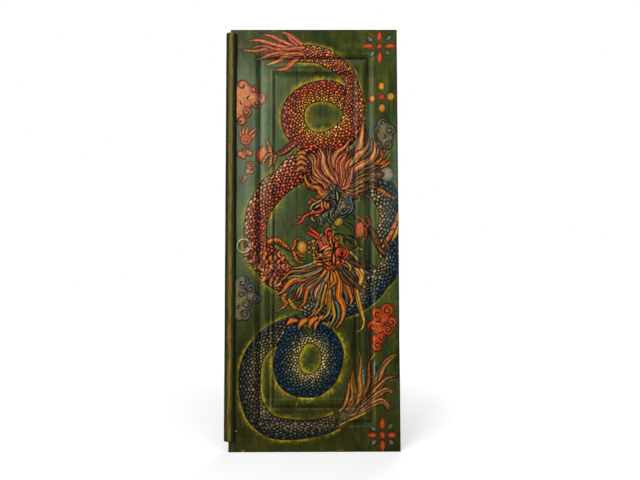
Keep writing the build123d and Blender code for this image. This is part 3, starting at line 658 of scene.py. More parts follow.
for colours, discs, curls in (
    (PINK, [(-340, 1726, 27), (-290, 1703, 24), (-256, 1666, 27), (-276, 1640, 22), (-320, 1598, 23),
            (-345, 1556, 22), (-350, 1690, 26), (-326, 1672, 30), (-350, 1640, 30), (-344, 1600, 24),
            (-316, 1640, 22), (-372, 1580, 24), (-330, 1702, 34), (-356, 1668, 36), (-356, 1612, 32),
            (-300, 1678, 32), (-284, 1658, 28), (-366, 1700, 30)],
     [(-342, 1726, 17, 150, 0.8), (-290, 1702, 17, 170, -1.2), (-256, 1670, 12, 200, -1.0),
      (-276, 1642, 16, 100, -1.1), (-322, 1598, 18, 110, 1.2), (-312, 1660, 18, 60, 0.35),
      (-340, 1640, 16, 130, 0.35), (-352, 1558, 14, 90, 0.8)]),
    (PINK, [(-350, 1396, 15), (-322, 1408, 17), (-304, 1398, 13), (-336, 1384, 12)],
     [(-322, 1408, 11, 0, 1.0)]),
     (PINK, [(-304, 1340, 19), (-314, 1312, 14), (-328, 1282, 11), (-336, 1266, 8), (-296, 1310, 10)],
      [(-303, 1340, 12, 200, -1.1)]),
      (CLAY, [(328, 1542, 26), (302, 1510, 22), (362, 1512, 27), (332, 1500, 28), (310, 1440, 21),
              (350, 1440, 24), (330, 1470, 24), (362, 1474, 18), (340, 1520, 30), (330, 1484, 30),
              (340, 1454, 26)],
     [(328, 1542, 17, 320, 1.0), (300, 1510, 15, 60, 1.2), (362, 1512, 19, 150, 1.2),
      (310, 1441, 14, 160, -1.1), (350, 1440, 16, 20, 1.2), (334, 1484, 14, 240, 0.5)]),
    (CLAY, [(-336, 786, 30), (-300, 755, 23), (-340, 735, 24), (-274, 711, 25), (-322, 685, 30),
            (-325, 634, 27), (-360, 700, 22), (-362, 650, 20), (-300, 720, 22), (-352, 620, 16),
            (-364, 744, 30), (-366, 694, 32), (-340, 708, 30), (-366, 640, 30), (-340, 660, 28),
            (-362, 780, 24)],
     [(-338, 784, 20, 70, -1.1), (-300, 756, 17, 150, 1.3), (-340, 732, 17, 110, 1.3),
      (-276, 708, 16, 60, 1.2), (-322, 684, 23, 120, -1.4), (-324, 636, 19, 60, 1.3),
      (-352, 664, 16, 60, 0.4)]),
    (EMBER, [(343, 655, 31), (294, 640, 26), (362, 598, 27), (272, 580, 26), (345, 562, 26), (310, 526, 25),
             (292, 488, 26), (302, 600, 30), (325, 618, 26), (306, 560, 27), (284, 520, 18)],
     [(345, 652, 20, 60, 1.3), (297, 636, 17, 330, -1.1), (362, 598, 18, 100, 1.2),
      (275, 576, 16, 320, -1.1), (346, 563, 18, 150, -1.3), (312, 526, 16, 60, -0.9),
      (294, 488, 17, 300, 1.3), (320, 600, 20, 90, 0.45), (304, 556, 18, 20, -0.4),
      (304, 612, 18, 200, 0.35)]),
):
    m = lobes(discs)
    halo(m, 10, 0.1)
    lay(m, colours, rise=3.6, full=15, line=4)
    for one in curls:
        curl(*one, 6)
for x, z, r in ((-340, 796, 24), (-330, 640, 22), (-300, 768, 18), (-268, 716, 18), (366, 1520, 20)):
    draw([(x - r, z - r * 0.3), (x - r * 0.5, z + r * 0.6), (x + r * 0.4, z + r * 0.7),
          (x + r, z - r * 0.2)], 6, linear(30, 62, 96), 0)

# The burning pearl in the upper left, and the pearls that the claws clasp: round
# beads with a paler heart, and small flames over the first and the last.
ORANGE = [(220, 138, 50), (196, 98, 30), (132, 56, 20)]


def disc(x, z, radius, stretch=1.0):
    """A round or oval motif; stretch is its height over its width."""
    tall = radius * stretch
    m = Motif(x - radius, x + radius, z - tall, z + tall)
    out = np.hypot(m.x - x, (m.z - z) / stretch)
    m.inside = radius - out
    m.across = np.clip(out / radius, 0, 2)
    m.half = radius
    return m


def dot(x, z, radius, colours, stretch=1.0, **extra):
    """A bead or an eye, laid as one motif."""
    lay(disc(x, z, radius, stretch), colours, **extra)


for points in (
    [(-346, 1476), (-350, 1492), (-346, 1512)], [(-336, 1486), (-338, 1504), (-332, 1526)],
    [(-324, 1490), (-320, 1510), (-312, 1532)], [(-310, 1484), (-298, 1500), (-270, 1524)],
    [(-302, 1470), (-290, 1484), (-276, 1496)],
):
    lock(points, 15, SALMON, root=0.9, rise=2)
dot(-325, 1465, 27, PINK, rise=5)
dot(-325, 1465, 12, SALMON, rise=1.5, level=4, line=3)
dot(-245, 1392, 30, PINK, stretch=1.4, rise=6)
dot(-258, 1392, 15, FLAME, stretch=2.2, rise=1, level=5, line=0)
dot(348, 1298, 33, [(172, 164, 138), (136, 138, 126), (66, 84, 96)], stretch=1.1, rise=6)
for palette, width, points in (
    (PEACH, 16, [(300, 1330), (330, 1352), (352, 1376), (366, 1402)]),
    (ORANGE, 15, [(276, 1336), (306, 1362), (328, 1394), (340, 1424)]),
    (PEACH, 15, [(262, 1344), (286, 1372), (302, 1398), (308, 1430)]),
    (ORANGE, 14, [(318, 1330), (344, 1344), (370, 1362)]),
    (ORANGE, 13, [(310, 1352), (320, 1374), (322, 1398), (318, 1416)]),
):
    lock(points, width, palette, root=0.6, rise=3, level=2, line=4.4)
draw([(356, 1250), (376, 1268), (380, 1296), (370, 1318)], 7, linear(56, 84, 104), 0)
dot(-58, 950, 24, YELLOW, stretch=1.3, rise=6)
lay(blob([(194, 1034), (198, 1058), (212, 1070), (232, 1066), (238, 1036), (232, 1006), (214, 996),
          (200, 1008)]), FLAME, rise=6)
for x in (204, 214, 224):
    draw([(x, 1006), (x - 4, 1034), (x + 2, 1062)], 3, linear(150, 52, 30))

# Arms, feet and claws: thin limbs with folded skin that end in four or five
# spread talons, and reach over the bodies for the pearls.
RUST = [(150, 76, 46), (120, 52, 32), (70, 30, 20)]
BROWN = [(122, 84, 50), (92, 62, 36), (50, 34, 22)]
FOLD_GAP = 12


def folds(points, width):
    """Short cuts across a limb, like the folds of a claw's skin."""
    line = through(points, step=FOLD_GAP)
    for k, (a, b) in enumerate(zip(line[1:-2], line[2:-1])):
        along = (b - a) / max(math.dist(a, b), 1)
        across = np.array([-along[1], along[0]]) * width * 0.48 * (1 - k / len(line))
        draw([a + across, a + 4 * along, a - across], 3.4, depth=1.2)


for palette, width, points in (
    (RUST, 34, [(-86, 1452), (-112, 1438), (-140, 1412), (-172, 1400), (-200, 1392)]),
    (SALMON, 13, [(-96, 1440), (-124, 1420), (-150, 1402), (-182, 1392)]),
    (PEACH, 22, [(-190, 1386), (-206, 1402), (-216, 1440), (-232, 1468)]),
    (PEACH, 17, [(-192, 1400), (-222, 1386), (-240, 1362), (-238, 1338)]),
    (PEACH, 19, [(-192, 1392), (-204, 1372), (-208, 1350), (-222, 1324)]),
    (PEACH, 16, [(-184, 1390), (-188, 1368), (-194, 1342)]),
    (ORANGE, 30, [(-212, 978), (-180, 984), (-146, 962), (-120, 940), (-92, 930)]),
    (RUST, 9, [(-200, 968), (-172, 972), (-144, 950), (-112, 932)]),
    (ORANGE, 16, [(-104, 938), (-94, 962), (-88, 984), (-62, 998)]),
    (ORANGE, 15, [(-100, 932), (-80, 925), (-66, 912), (-40, 905)]),
    (ORANGE, 16, [(-96, 926), (-86, 898), (-74, 882), (-48, 876)]),
    (BROWN, 34, [(300, 960), (288, 1000), (270, 1032), (240, 1052)]),
    (ORANGE, 13, [(246, 1056), (236, 1072), (222, 1086), (202, 1100)]),
    (ORANGE, 14, [(252, 1048), (262, 1064), (258, 1086), (246, 1106)]),
    (ORANGE, 13, [(244, 1040), (248, 1016), (244, 994), (220, 974)]),
    (OLIVE, 13, [(226, 940), (212, 942), (200, 962), (190, 992)]),
    (ORANGE, 18, [(-64, 768), (-78, 736), (-92, 706), (-118, 688)]),
    (YELLOW, 20, [(-118, 702), (-104, 678), (-84, 662), (-48, 652)]),
    (OCHRE, 30, [(-50, 790), (-92, 762), (-134, 738), (-146, 706), (-132, 684), (-150, 664), (-184, 645)]),
    (ORANGE, 24, [(240, 1292), (272, 1322), (300, 1350), (322, 1376), (332, 1402)]),
    (ORANGE, 18, [(306, 1336), (328, 1352), (344, 1364), (358, 1380)]),
    (ORANGE, 22, [(286, 1240), (314, 1222), (350, 1198), (390, 1180)]),
):
    lock(points, width, palette, root=0.8, rise=4.5, level=1.5, line=4, streak=0.3)
    folds(points, width)

# Leaf-shaped frills along the backs, and the ruff of small curled leaves where
# the upper dragon's body comes round behind its own mane.
for palette, width, points in (
    (ORANGE, 24, [(398, 1110), (390, 1066), (370, 1030)]),
    (YELLOW, 18, [(398, 1050), (386, 1012), (366, 978)]),
    (PEACH, 22, [(386, 1066), (368, 1022), (350, 986)]), (ORANGE, 22, [(372, 1030), (350, 990), (322, 952)]),
    (PEACH, 18, [(352, 1000), (334, 966), (312, 938)]), (BROWN, 20, [(352, 940), (336, 976), (324, 996)]),
    (BROWN, 20, [(330, 918), (308, 944), (294, 964)]), (ORANGE, 24, [(-84, 606), (-110, 604), (-132, 584)]),
    (ORANGE, 26, [(-30, 612), (-58, 596), (-78, 566)]), (ORANGE, 26, [(10, 618), (-14, 600), (-26, 568)]),
    (PEACH, 14, [(22, 600), (8, 588), (2, 558)]), (ORANGE, 22, [(46, 624), (30, 616), (22, 600)]),
    (OCHRE, 22, [(-84, 1346), (-62, 1360), (-34, 1344)]),
    (OCHRE, 20, [(-86, 1316), (-60, 1332), (-36, 1314)]),
    (OCHRE, 20, [(-78, 1398), (-54, 1406), (-28, 1388)]),
    (OCHRE, 20, [(-82, 1370), (-60, 1384), (-30, 1366)]),
    (SALMON, 22, [(-268, 900), (-300, 884), (-326, 884)]),
    (SALMON, 18, [(-296, 930), (-318, 918), (-336, 906)]),
    (PEACH, 20, [(-200, 800), (-230, 806), (-256, 780)]),
    (PEACH, 18, [(-176, 872), (-172, 846), (-176, 826)]),
    (PEACH, 16, [(-224, 876), (-226, 854), (-222, 838)]),
    (FLAME, 18, [(-230, 932), (-262, 906), (-284, 876)]),
    (FLAME, 16, [(-190, 900), (-204, 870), (-212, 848)]),
):
    lock(points, width, palette, root=0.6, rise=2.6, level=3, line=4, streak=0.3)

for row, z in enumerate((916, 896, 876, 856, 836, 816, 796, 778)):
    for n in range(6):
        x = -304 + 17 * row + 26 * n + rng.uniform(-8, 8)
        lean = rng.uniform(-30, 26)
        palette = (FLAME, PEACH, ORANGE, SALMON, RUST)[rng.integers(5)]
        leaf = [(x + 4, z + 14), (x - 0.2 * lean, z + 1), (x + lean, z - rng.uniform(12, 22))]
        lock(leaf, rng.uniform(13, 19), palette, root=0.45, rise=2.4, level=3, line=4.4, streak=0.3)

# The lower dragon's mane, horns and head: grey scales on the brow, a long split
# tongue, and a mouth that is open to the left.
NIGHT = [(22, 19, 17), (16, 14, 13)]
RED = [(214, 96, 44), (184, 62, 30), (110, 34, 18)]
STONE = [(128, 124, 106), (100, 100, 90), (56, 60, 60)]
TONGUE = [(228, 92, 56), (206, 68, 40), (128, 34, 22)]
BEIGE = [(184, 166, 128), (150, 132, 98), (98, 84, 62)]
BLUE = [(92, 126, 148), (58, 88, 112), (30, 46, 62)]


def halfway(first, second, share):
    """The line of a lock between two others, at share of the way."""
    lines = []
    for points in (first, second):
        line = through(points)
        at = np.linspace(0, len(line) - 1, 6)
        lines.append(np.stack([np.interp(at, np.arange(len(line)), line[:, k]) for k in (0, 1)], 1))
    return (lines[0] * (1 - share) + lines[1] * share).tolist()


def mane(locks, under, root, gather):
    """Locks of (palette, width, points), and narrower ones in other paints that fill between them.

    Their first points are drawn gather of the way towards root, a place under the head.
    """
    locks = [
        (palette, width * 1.25, [[a + (b - a) * gather for a, b in zip(points[0], root)]] + list(points))
        for palette, width, points in locks
    ]
    for k, ((_, wide, points), (_, next_wide, following)) in enumerate(zip(locks, locks[1:])):
        ends = [math.dist(points[end], following[end]) for end in (0, -1)]
        if ends[0] < 75 and ends[1] < 120:
            for n, share in enumerate((0.3, 0.7) if ends[1] > 45 else (0.5,)):
                line = halfway(points, following, share)
                paints = under[(2 * k + n) % len(under)]
                lock(line, 0.4 * (wide + next_wide), paints, root=0.6, rise=3.2, level=1.6, streak=0.3,
                     line=5)
    for k, (palette, width, points) in enumerate(locks):
        vein = (0.12, -0.14)[k % 2] if width > 14 else 0
        lock(points, width, palette, root=0.62, vein=vein, rise=4.2, level=2.2, streak=0.3, line=5)


lay(blob([(0, 1262), (10, 1310), (40, 1345), (100, 1340), (150, 1350), (200, 1340), (226, 1290), (200, 1210),
          (120, 1180), (40, 1200), (10, 1225)]), NIGHT, rise=2, line=0, level=1, full=20)
lay(blob([(152, 1238), (158, 1276), (184, 1308), (222, 1326), (268, 1328), (306, 1318), (334, 1300),
          (318, 1276), (284, 1262), (262, 1236), (250, 1200), (214, 1176), (184, 1196)]), BARK, rise=2.5,
          level=1, full=20, streak=0.4)
mane((
    (BROWN, 30, [(168, 1226), (215, 1276), (262, 1310), (318, 1338)]),
    (BARK, 26, [(152, 1246), (200, 1298), (250, 1326), (300, 1342)]),
    (SLATE, 24, [(160, 1240), (190, 1300), (225, 1380), (242, 1440)]),
    (SLATE, 20, [(150, 1230), (190, 1290), (215, 1360), (218, 1420)]),
    (BARK, 40, [(160, 1205), (210, 1250), (262, 1282), (300, 1290)]),
    (BROWN, 34, [(170, 1190), (220, 1216), (262, 1236), (310, 1232)]),
    (SALMON, 13, [(170, 1222), (200, 1240), (226, 1262), (252, 1290)]),
    (OLIVE, 10, [(190, 1222), (222, 1240), (254, 1252)]),
    (SALMON, 12, [(186, 1204), (214, 1216), (244, 1224)]),
    (PEACH, 32, [(175, 1290), (196, 1360), (214, 1420), (230, 1492), (237, 1558)]),
    (PEACH, 30, [(170, 1330), (205, 1386), (240, 1412), (258, 1440), (262, 1478)]),
    (PEACH, 28, [(168, 1310), (214, 1338), (262, 1366), (288, 1400), (290, 1458)]),
    (ORANGE, 20, [(135, 1224), (147, 1262), (150, 1308), (156, 1350), (192, 1388)]),
    (SALMON, 18, [(158, 1240), (176, 1290), (184, 1326), (206, 1352)]),
    (FLAME, 24, [(124, 1262), (134, 1300), (128, 1342), (150, 1390), (166, 1440)]),
    (PEACH, 22, [(108, 1298), (94, 1340), (90, 1368), (112, 1408), (145, 1430), (180, 1478)]),
    (FLAME, 15, [(116, 1288), (110, 1334), (113, 1368), (134, 1392), (164, 1408)]),
    (SALMON, 20, [(104, 1286), (84, 1320), (72, 1346), (68, 1376)]),
    (ORANGE, 12, [(74, 1360), (74, 1390), (76, 1414), (79, 1440)]),
    (PEACH, 26, [(88, 1272), (62, 1306), (46, 1346), (43, 1392), (22, 1430)]),
    (RED, 20, [(78, 1260), (42, 1284), (20, 1312), (18, 1352), (20, 1382), (10, 1404)]),
    (PEACH, 15, [(66, 1250), (36, 1270), (4, 1298), (-4, 1332), (-8, 1362), (-36, 1397)]),
    (PEACH, 14, [(30, 1300), (6, 1340), (4, 1378), (-20, 1404)]),
    (ORANGE, 20, [(60, 1230), (30, 1256), (0, 1262), (-24, 1292)]),
    (SALMON, 18, [(56, 1196), (60, 1226), (48, 1252), (20, 1270), (-12, 1292)]),
    (ORANGE, 22, [(42, 1218), (20, 1236), (-14, 1240), (-36, 1262), (-46, 1302)]),
    (ORANGE, 24, [(36, 1206), (26, 1228), (2, 1240), (-20, 1236)]),
), (BARK, RUST, SALMON, RUST), (112, 1222), 0.55)
for colour, points in (
    (INK, [(165, 1262), (210, 1292), (262, 1308), (318, 1304)]),
    (INK, [(160, 1248), (206, 1276), (256, 1290), (300, 1284)]),
    (INK, [(175, 1285), (215, 1310), (262, 1320), (300, 1316)]),
    (linear(158, 104, 56), [(168, 1256), (214, 1285), (262, 1299), (310, 1295)]),
    (linear(150, 96, 54), [(172, 1238), (212, 1262), (250, 1274), (284, 1272)]),
    (INK, [(178, 1226), (214, 1248), (250, 1260), (276, 1262)]),
    (INK, [(186, 1208), (216, 1228), (244, 1236)]), (INK, [(192, 1190), (220, 1206), (244, 1216)]),
    (linear(158, 104, 56), [(190, 1200), (218, 1216), (246, 1226)]),
):
    draw(points, 4.5, colour, 1.2)
lay(blob([(-16, 1132), (-18, 1150), (2, 1164), (32, 1178), (52, 1196), (64, 1212), (70, 1232), (84, 1246),
          (104, 1252), (122, 1240), (136, 1222), (154, 1206), (172, 1198), (182, 1172), (188, 1146),
          (180, 1122), (160, 1102), (134, 1092), (112, 1096), (100, 1080), (90, 1066), (78, 1058),
          (66, 1066), (58, 1076), (50, 1064), (42, 1050), (28, 1050), (16, 1066), (12, 1088), (22, 1104),
          (44, 1122), (74, 1136), (70, 1160), (40, 1166), (8, 1150)]), STONE, rise=6, level=2.5, full=22)
lay(blob([(4, 1152), (30, 1166), (56, 1172), (80, 1160), (84, 1142), (70, 1130), (46, 1122), (24, 1108),
          (4, 1108), (-8, 1118), (-4, 1134)]),
    NIGHT, rise=0.5, level=2)
lay(blob([(12, 1122), (26, 1132), (40, 1130), (38, 1116), (20, 1110)]), TONGUE, rise=2, level=3)
for palette, width, points in (
    (TONGUE, 15, [(24, 1118), (-2, 1116), (-30, 1108), (-58, 1094), (-90, 1102)]),
    (TONGUE, 13, [(-26, 1110), (-48, 1094), (-62, 1072), (-98, 1056)]),
    (BEIGE, 11, [(-16, 1130), (-13, 1146), (4, 1160), (30, 1173), (48, 1190), (62, 1206), (70, 1226)]),
    (PEACH, 12, [(36, 1164), (37, 1146), (46, 1124)]), (ORANGE, 12, [(52, 1170), (52, 1150), (64, 1126)]),
    (PEACH, 12, [(66, 1158), (66, 1144), (72, 1134)]), (PEACH, 9, [(26, 1152), (14, 1144), (1, 1135)]),
    (PEACH, 9, [(-9, 1126), (-2, 1120), (7, 1112)]), (PEACH, 10, [(-11, 1094), (-8, 1082), (6, 1075)]),
    (PEACH, 8, [(8, 1102), (18, 1104), (30, 1107)]),
    (BLUE, 15, [(172, 1198), (176, 1168), (184, 1142), (168, 1116), (138, 1096), (116, 1098)]),
    (BEIGE, 9, [(128, 1220), (146, 1206), (170, 1194)]), (BEIGE, 8, [(112, 1238), (118, 1222), (132, 1208)]),
    (BEIGE, 8, [(126, 1206), (142, 1196), (164, 1184)]), (BEIGE, 8, [(78, 1236), (90, 1222), (94, 1206)]),
    (BEIGE, 9, [(108, 1212), (112, 1192), (110, 1172), (104, 1150)]),
    (BEIGE, 8, [(84, 1124), (78, 1108), (84, 1088), (98, 1078)]),
):
    lock(points, width, palette, root=0.8, rise=2.4, level=5, line=4.2)
for width, points in (
    (7.5, [(112, 1240), (116, 1215), (120, 1192), (117, 1172), (112, 1156), (106, 1138), (96, 1122),
           (86, 1112), (82, 1096), (90, 1086)]),
    (5.5, [(104, 1238), (102, 1214), (103, 1186), (108, 1166), (102, 1146), (94, 1132)]),
    (5.5, [(44, 1172), (62, 1172), (80, 1172), (90, 1160), (93, 1145), (82, 1130)]),
    (4.5, [(70, 1190), (84, 1189), (98, 1192)]), (4.5, [(64, 1182), (80, 1183), (96, 1174)]),
    (4.0, [(84, 1240), (92, 1228), (88, 1214), (94, 1202)]),
    (5.0, [(76, 1132), (56, 1124), (36, 1108), (20, 1100)]),
    (5.0, [(72, 1126), (67, 1110), (72, 1092), (84, 1076), (94, 1068)]),
    (4.0, [(92, 1118), (98, 1104), (94, 1092), (102, 1082)]),
    (4.0, [(122, 1222), (136, 1206), (152, 1196), (166, 1188)]),
    (4.0, [(120, 1200), (132, 1198), (140, 1190), (136, 1182)]),
    (4.0, [(126, 1190), (142, 1180), (162, 1180)]), (4.0, [(128, 1174), (146, 1170), (164, 1172)]),
    (4.4, [(126, 1116), (133, 1130), (146, 1136), (162, 1138)]),
    (4.0, [(128, 1112), (142, 1118), (154, 1128), (168, 1136)]),
    (4.0, [(116, 1104), (136, 1104), (156, 1112), (170, 1126)]), (4.0, [(44, 1094), (54, 1086), (64, 1080)]),
    (4.0, [(38, 1086), (48, 1078), (56, 1070)]), (4.0, [(34, 1076), (42, 1068), (48, 1060)]),
    (4.0, [(52, 1102), (60, 1096), (68, 1088)]), (4.0, [(20, 1090), (26, 1076), (24, 1062)]),
    (4.0, [(30, 1100), (36, 1092), (44, 1088)]), (4.0, [(76, 1226), (84, 1216), (80, 1206), (90, 1198)]),
    (4.0, [(66, 1210), (76, 1202), (86, 1206)]), (4.0, [(52, 1190), (66, 1196), (78, 1194)]),
    (4.0, [(34, 1176), (48, 1182), (58, 1188)]), (4.0, [(92, 1184), (100, 1176), (98, 1166)]),
    (4.0, [(124, 1214), (128, 1204), (124, 1196), (130, 1188)]),
    (4.0, [(124, 1180), (132, 1172), (128, 1160), (136, 1152)]),
    (4.0, [(118, 1160), (126, 1152), (120, 1142), (124, 1132)]),
    (4.0, [(140, 1162), (154, 1158), (166, 1162)]), (4.0, [(144, 1148), (156, 1148), (170, 1154)]),
    (4.0, [(108, 1128), (118, 1120), (124, 1108)]), (4.0, [(100, 1114), (112, 1110), (120, 1100)]),
    (4.0, [(104, 1252), (108, 1240), (100, 1228)]), (4.0, [(132, 1226), (140, 1214), (150, 1206)]),
):
    draw(points, width * 1.4, depth=1.6)
dot(139, 1124, 6.5, NIGHT, rise=1.5, level=7, line=1)
for x, z, r in ((-22, 1164, 10), (-8, 1177, 9), (5, 1171, 7), (20, 1190, 9), (37, 1188, 7)):
    dot(x, z, r, ORANGE, rise=3, level=3, line=3)
    curl(x, z, r * 0.7, 200, 0.7, 3)

# Whisker curls between the two heads: single brush lines, black or dull yellow,
# round a small olive chin tuft.
for width, colour, points in (
    (4, INK, [(82, 1062), (80, 1048), (92, 1036), (110, 1034)]),
    (4, INK, [(98, 1060), (118, 1052), (136, 1062), (150, 1052)]),
    (5, linear(128, 124, 40), [(88, 1058), (88, 1046), (102, 1040)]),
    (4, INK, [(86, 1050), (90, 1012), (112, 1016), (128, 1010), (140, 986), (130, 966)]),
    (5, linear(134, 130, 44), [(90, 1034), (92, 1020), (88, 1008)]),
    (4, linear(134, 130, 44), [(120, 1008), (132, 994), (128, 976), (138, 964)]),
    (4, INK, [(126, 1012), (142, 1008), (150, 990), (144, 972), (152, 962)]),
    (3.5, INK, [(150, 1050), (170, 1040), (176, 1020)]), (3.5, INK, [(160, 1068), (180, 1056), (190, 1036)]),
    (5, linear(26, 44, 34), [(140, 1100), (168, 1108), (192, 1096), (196, 1072)]),
    (5, linear(26, 44, 34), [(136, 1086), (160, 1092), (176, 1080)]),
    (5, INK, [(150, 1010), (176, 1004), (200, 984), (204, 956), (188, 944), (172, 954)]),
    (5, INK, [(144, 990), (164, 984), (180, 968)]),
):
    draw(points, width * 1.5, colour, 0.8)
lay(blob([(94, 1068), (100, 1055), (116, 1050), (136, 1065), (134, 1088), (116, 1093), (104, 1083)]), OLIVE,
    rise=1, line=3)

# The upper dragon's mane, horns and head: a glowing orange face with a round eye,
# its mouth open upwards, over a mane that falls in long mixed locks.
FIRE = [(240, 132, 42), (226, 100, 32), (168, 58, 22)]
lay(blob([(-70, 840), (-30, 860), (20, 876), (70, 850), (130, 872), (180, 850), (200, 800), (170, 730),
          (120, 700), (60, 680), (10, 690), (-30, 710), (-70, 750), (-90, 800)]), NIGHT, rise=2, line=0,
          level=1.5, full=20)
mane((
    (BROWN, 36, [(150, 888), (190, 876), (240, 868), (292, 850)]),
    (BROWN, 34, [(130, 850), (165, 806), (200, 770), (240, 742)]),
    (YELLOW, 26, [(180, 860), (208, 836), (222, 806), (206, 746)]),
    (PEACH, 15, [(208, 862), (226, 836), (240, 808)]),
    (SLATE, 18, [(150, 860), (180, 830), (196, 800), (206, 768)]),
    (YELLOW, 11, [(148, 884), (168, 866), (170, 842), (154, 812)]),
    (YELLOW, 17, [(186, 790), (200, 745), (208, 700), (222, 644), (234, 606), (226, 570), (192, 545)]),
    (ORANGE, 20, [(150, 800), (170, 760), (178, 720), (160, 712)]),
    (ORANGE, 18, [(150, 776), (166, 736), (178, 700), (162, 672)]),
    (SLATE, 18, [(110, 836), (98, 790), (92, 750), (100, 700)]),
    (SLATE, 16, [(130, 830), (124, 780), (118, 740), (126, 700)]),
    (ORANGE, 24, [(118, 800), (120, 752), (116, 716), (136, 676), (138, 640), (128, 604), (98, 562)]),
    (YELLOW, 18, [(80, 800), (74, 748), (78, 700), (92, 648), (92, 612), (62, 566)]),
    (ORANGE, 20, [(62, 800), (60, 760), (62, 720), (50, 668)]),
    (PEACH, 12, [(46, 790), (34, 742), (36, 706), (50, 676)]),
    (PEACH, 22, [(54, 800), (26, 762), (8, 734), (10, 702), (32, 688)]),
    (SLATE, 15, [(40, 806), (0, 770), (-14, 736), (-8, 706), (6, 684)]),
    (ORANGE, 20, [(40, 820), (0, 786), (-30, 752), (-42, 712), (-50, 684), (-76, 664)]),
    (SLATE, 12, [(0, 800), (-40, 768), (-54, 742), (-58, 706)]),
    (PEACH, 14, [(10, 820), (-34, 796), (-58, 768), (-64, 738), (-82, 698)]),
    (SLATE, 12, [(-20, 812), (-70, 780), (-90, 752), (-98, 722)]),
    (ORANGE, 26, [(10, 836), (-50, 806), (-96, 796), (-128, 770), (-154, 738), (-192, 724)]),
    (BEIGE, 13, [(30, 846), (-10, 826), (-60, 814), (-104, 814), (-130, 796)]),
    (ORANGE, 13, [(20, 866), (-20, 846), (-70, 838), (-112, 834), (-136, 812), (-170, 786)]),
    (BEIGE, 11, [(16, 886), (-26, 866), (-70, 856), (-118, 850)]),
    (SLATE, 9, [(20, 874), (-24, 854), (-74, 846)]),
    (ORANGE, 16, [(26, 706), (12, 672), (-2, 642), (-32, 615)]),
    (YELLOW, 12, [(40, 700), (30, 664), (10, 640), (4, 622)]),
    (BEIGE, 12, [(20, 720), (16, 690), (2, 660), (-18, 644)]),
    (ORANGE, 14, [(102, 792), (84, 772), (60, 752)]),
    (YELLOW, 14, [(70, 660), (64, 636), (44, 616), (30, 604)]),
), (SLATE, BARK, SLATE, YELLOW, SLATE), (80, 880), 0.4)
for palette, width, points in (
    (YELLOW, 15, [(150, 936), (182, 918), (204, 890), (214, 858)]),
    (SLATE, 12, [(150, 914), (176, 900), (196, 876)]),
    (DUSK, 28, [(146, 906), (180, 882), (222, 866), (268, 856), (300, 846)]),
    (DUSK, 20, [(170, 884), (214, 862), (256, 852)]),
    (DUSK, 34, [(112, 872), (142, 830), (176, 794), (212, 758), (252, 732)]),
    (DUSK, 22, [(118, 836), (146, 792), (186, 762)]), (DUSK, 16, [(140, 852), (176, 816), (206, 792)]),
):
    lock(points, width, palette, root=0.7, rise=3.4, level=3, line=4, streak=0.5)
lay(blob([(-9, 980), (0, 990), (18, 986), (36, 986), (45, 1002), (50, 1020), (54, 1036), (66, 1046),
          (80, 1043), (85, 1028), (81, 1016), (88, 1005), (112, 1004), (121, 990), (119, 970), (136, 958),
          (154, 950), (166, 930), (163, 912), (151, 898), (144, 882), (130, 870), (110, 862), (98, 852),
          (88, 842), (70, 839), (50, 845), (30, 855), (14, 866), (4, 886), (-4, 906), (-9, 928), (-5, 950)]),
          FIRE, rise=6, level=2.5, full=20)
lay(blob([(8, 984), (28, 984), (48, 968), (66, 958), (82, 948), (78, 928), (62, 914), (44, 910), (24, 918),
          (12, 934), (8, 958)]), NIGHT,
    rise=0.5, level=2)
lay(blob([(18, 974), (33, 982), (46, 958), (27, 945)]), TONGUE, rise=2, level=3.5)
for palette, width, points in (
    (TONGUE, 14, [(34, 990), (22, 1008), (6, 1020), (-14, 1036), (-34, 1056)]),
    (TONGUE, 13, [(26, 988), (6, 1002), (-12, 1012), (-44, 1026)]),
    (PEACH, 17, [(72, 958), (54, 954), (38, 944), (22, 934)]),
    (PEACH, 14, [(80, 946), (62, 942), (50, 928), (42, 912)]),
    (PEACH, 11, [(72, 930), (60, 922), (50, 908)]), (BEIGE, 8, [(22, 984), (12, 974), (11, 958), (13, 942)]),
    (BEIGE, 9, [(26, 1002), (36, 1012), (46, 1020)]), (BEIGE, 8, [(42, 1002), (44, 982), (54, 960)]),
    (RED, 14, [(58, 1016), (54, 994), (62, 970), (78, 956)]),
    (RED, 15, [(80, 1038), (64, 1038), (56, 1024), (60, 1006)]),
    (ORANGE, 12, [(112, 1002), (102, 996), (98, 984)]), (ORANGE, 12, [(92, 990), (92, 970), (96, 952)]),
    (FIRE, 18, [(92, 918), (90, 896), (92, 874), (86, 850)]),
    (FIRE, 17, [(108, 900), (112, 884), (106, 866)]), (FIRE, 15, [(126, 892), (136, 884), (138, 872)]),
    (FIRE, 17, [(18, 884), (40, 886), (62, 874), (80, 866)]),
    (FIRE, 17, [(16, 870), (40, 868), (60, 854), (78, 846)]),
    (FIRE, 15, [(14, 902), (34, 906), (56, 900), (76, 904)]),
):
    lock(points, width, palette, root=0.8, rise=2.4, level=5, line=4.2)
for x, z, r in ((30, 914, 9), (112, 992, 9)):
    dot(x, z, r, YELLOW, rise=3, level=4, line=3)
for n in range(7):
    dot(-4 + 4 * (n % 2) + 1.2 * n, 978 - 16 * n, 10, YELLOW, rise=3, level=3, line=4)
dot(132, 925, 33, FIRE, rise=4, level=3, line=4)
dot(130, 922, 17, TONGUE, stretch=1.2, rise=3, level=5, line=0)
dot(131, 922, 8.5, NIGHT, stretch=1.3, rise=1, level=7, line=1)
